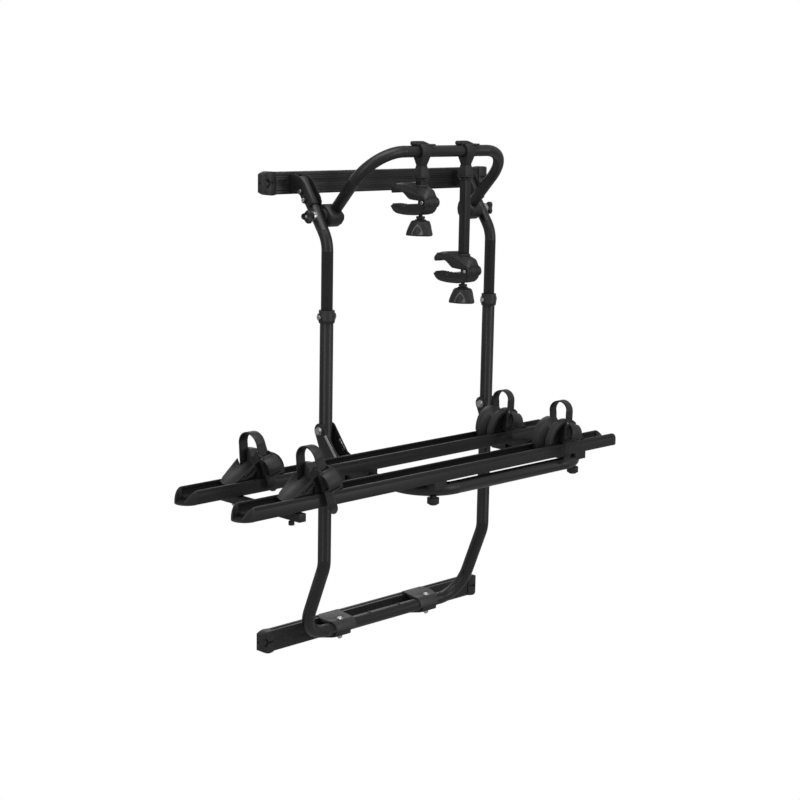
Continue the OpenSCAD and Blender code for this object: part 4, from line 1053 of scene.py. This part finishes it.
def add_arm_plates(side):
    """A plain plate inside the right flange, and a bright strip in the left flange's slot."""
    low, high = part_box("platform_arm_" + side)
    pivot_low, pivot_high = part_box("pivot_bolts")
    y, z = (pivot_low[1] + pivot_high[1]) / 2, (pivot_low[2] + pivot_high[2]) / 2
    slot_turn = Matrix.Translation((0, y, z)) @ Matrix.Rotation(SLOT_LEAN, 4, "X")
    left, right = low[0] / MM, high[0] / MM
    plate = round_edges(box((right - 3.4, -15, -72), (right - 1.4, -4, -14)), 0.3)
    strip = round_edges(box((left - 0.3, -13.4, -98), (left + 1.4, -5.6, -19)), 0.5)
    wear(moved(plate, slot_turn), "platform_arm_" + side, replaces=False)
    wear(moved(strip, slot_turn), "platform_arm_" + side, FINISHES["zinc"], replaces=False)


for side in ("left", "right"):
    add_arm_plates(side)


# %% Screw plugs of the mounting rails
SCREW_X = 310


def add_screw_plugs(node):
    low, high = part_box(node)
    z = (low[2] + high[2]) / 2 / MM
    plugs = [round_edges(rod(8.6, (x, -21.9, z), (x, -18, z), 40), 0.5) for x in (-SCREW_X, SCREW_X)]
    wear(joined(plugs, "screw_plugs"), node, replaces=False)


add_screw_plugs("top_rail")
add_screw_plugs("bottom_rail")

# %% Small changes that the photograph asks for
SLIM_KNOBS = {"brace_knob": 0.55, "platform_knob_left": 0.78, "platform_knob_right": 0.78}


def fitted(piece, node):
    """Slims a knob about its own axis, or stretches a mounting rail into its right cap."""
    if node in SLIM_KNOBS:
        low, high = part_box(node)
        centre = Vector(((low[0] + high[0]) / 2, (low[1] + high[1]) / 2, 0))
        share = SLIM_KNOBS[node]
        slim = Matrix.Diagonal((share, share, 1, 1))
        moved(piece, Matrix.Translation(centre) @ slim @ Matrix.Translation(-centre))
    if node in ("top_rail", "bottom_rail"):
        scaled_along(piece, lambda x, y, z: (x + (CAP_REACH if x > RAIL_TIP_X else 0), y, z))
    return piece


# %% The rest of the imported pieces, dressed
for node_name in frame["nodes"]:
    if node_name not in MODELLED:
        wear(fitted(dressed_copy(node_name), node_name), node_name)
print("dressed pieces:", len(frame["nodes"]) - len(MODELLED))

# %% [markdown]
# ## Light and backdrop
#
# The picture is a studio shot on white. The white is the colour of what the camera
# sees behind the carrier, and not strong light: a few large soft lamps at a plain
# level draw the highlights along the tubes.


# %% Floor, world and lamps
CAMERA_WHITE = 1.0
WORLD_FILL = 0.42


def white_seen(tree):
    """1 where the camera itself looks, so that the backdrop is white at any light."""
    path = tree.nodes.new("ShaderNodeLightPath")
    return Sock(tree, path.outputs["Is Camera Ray"])


def white_stage():
    f = Finish("white_floor")
    emission = f.tree.nodes.new("ShaderNodeEmission")
    emission.inputs["Strength"].default_value = CAMERA_WHITE
    mix = f.tree.nodes.new("ShaderNodeMixShader")
    out = f.tree.nodes["Material Output"]
    f.set(Base_Color=(0.5, 0.5, 0.5), Roughness=0.9)
    f.tree.links.new(white_seen(f.tree).socket, mix.inputs[0])
    f.tree.links.new(f.shader.outputs[0], mix.inputs[1])
    f.tree.links.new(emission.outputs[0], mix.inputs[2])
    f.tree.links.new(mix.outputs[0], out.inputs["Surface"])
    return f.material


def add_floor():
    bpy.ops.mesh.primitive_plane_add(size=30, location=(0, 0, -0.6))
    floor = bpy.context.object
    floor.name = "floor"
    floor.data.materials.append(white_stage())


def add_world():
    world = bpy.data.worlds.new("studio")
    bpy.context.scene.world = world
    world.use_nodes = True
    tree = world.node_tree
    background = tree.nodes["Background"]
    background.inputs["Color"].default_value = (1, 1, 1, 1)
    strength = white_seen(tree) * (CAMERA_WHITE - WORLD_FILL) + WORLD_FILL
    tree.links.new(strength.socket, background.inputs["Strength"])


def add_lamp(name, place, aim, size, watts):
    bpy.ops.object.light_add(type="AREA", location=place)
    lamp = bpy.context.object
    lamp.name = name
    lamp.data.shape = "RECTANGLE"
    lamp.data.size, lamp.data.size_y = size
    lamp.data.energy = watts
    lamp.rotation_euler = (Vector(aim) - Vector(place)).to_track_quat("-Z", "Y").to_euler()


deselect()
add_floor()
add_world()
CENTRE = (-0.1, -0.2, 0.6)
add_lamp("overhead", (-0.6, -0.9, 3.2), CENTRE, (2.6, 1.6), 34)
add_lamp("front_left", (-3.6, -1.2, 1.8), CENTRE, (0.9, 2.4), 16)
add_lamp("front_right", (1.2, -3.9, 1.6), CENTRE, (0.9, 2.4), 22)
add_lamp("behind", (1.8, 2.4, 1.8), CENTRE, (1.6, 1.6), 10)
bpy.context.scene.view_settings.view_transform = "Standard"
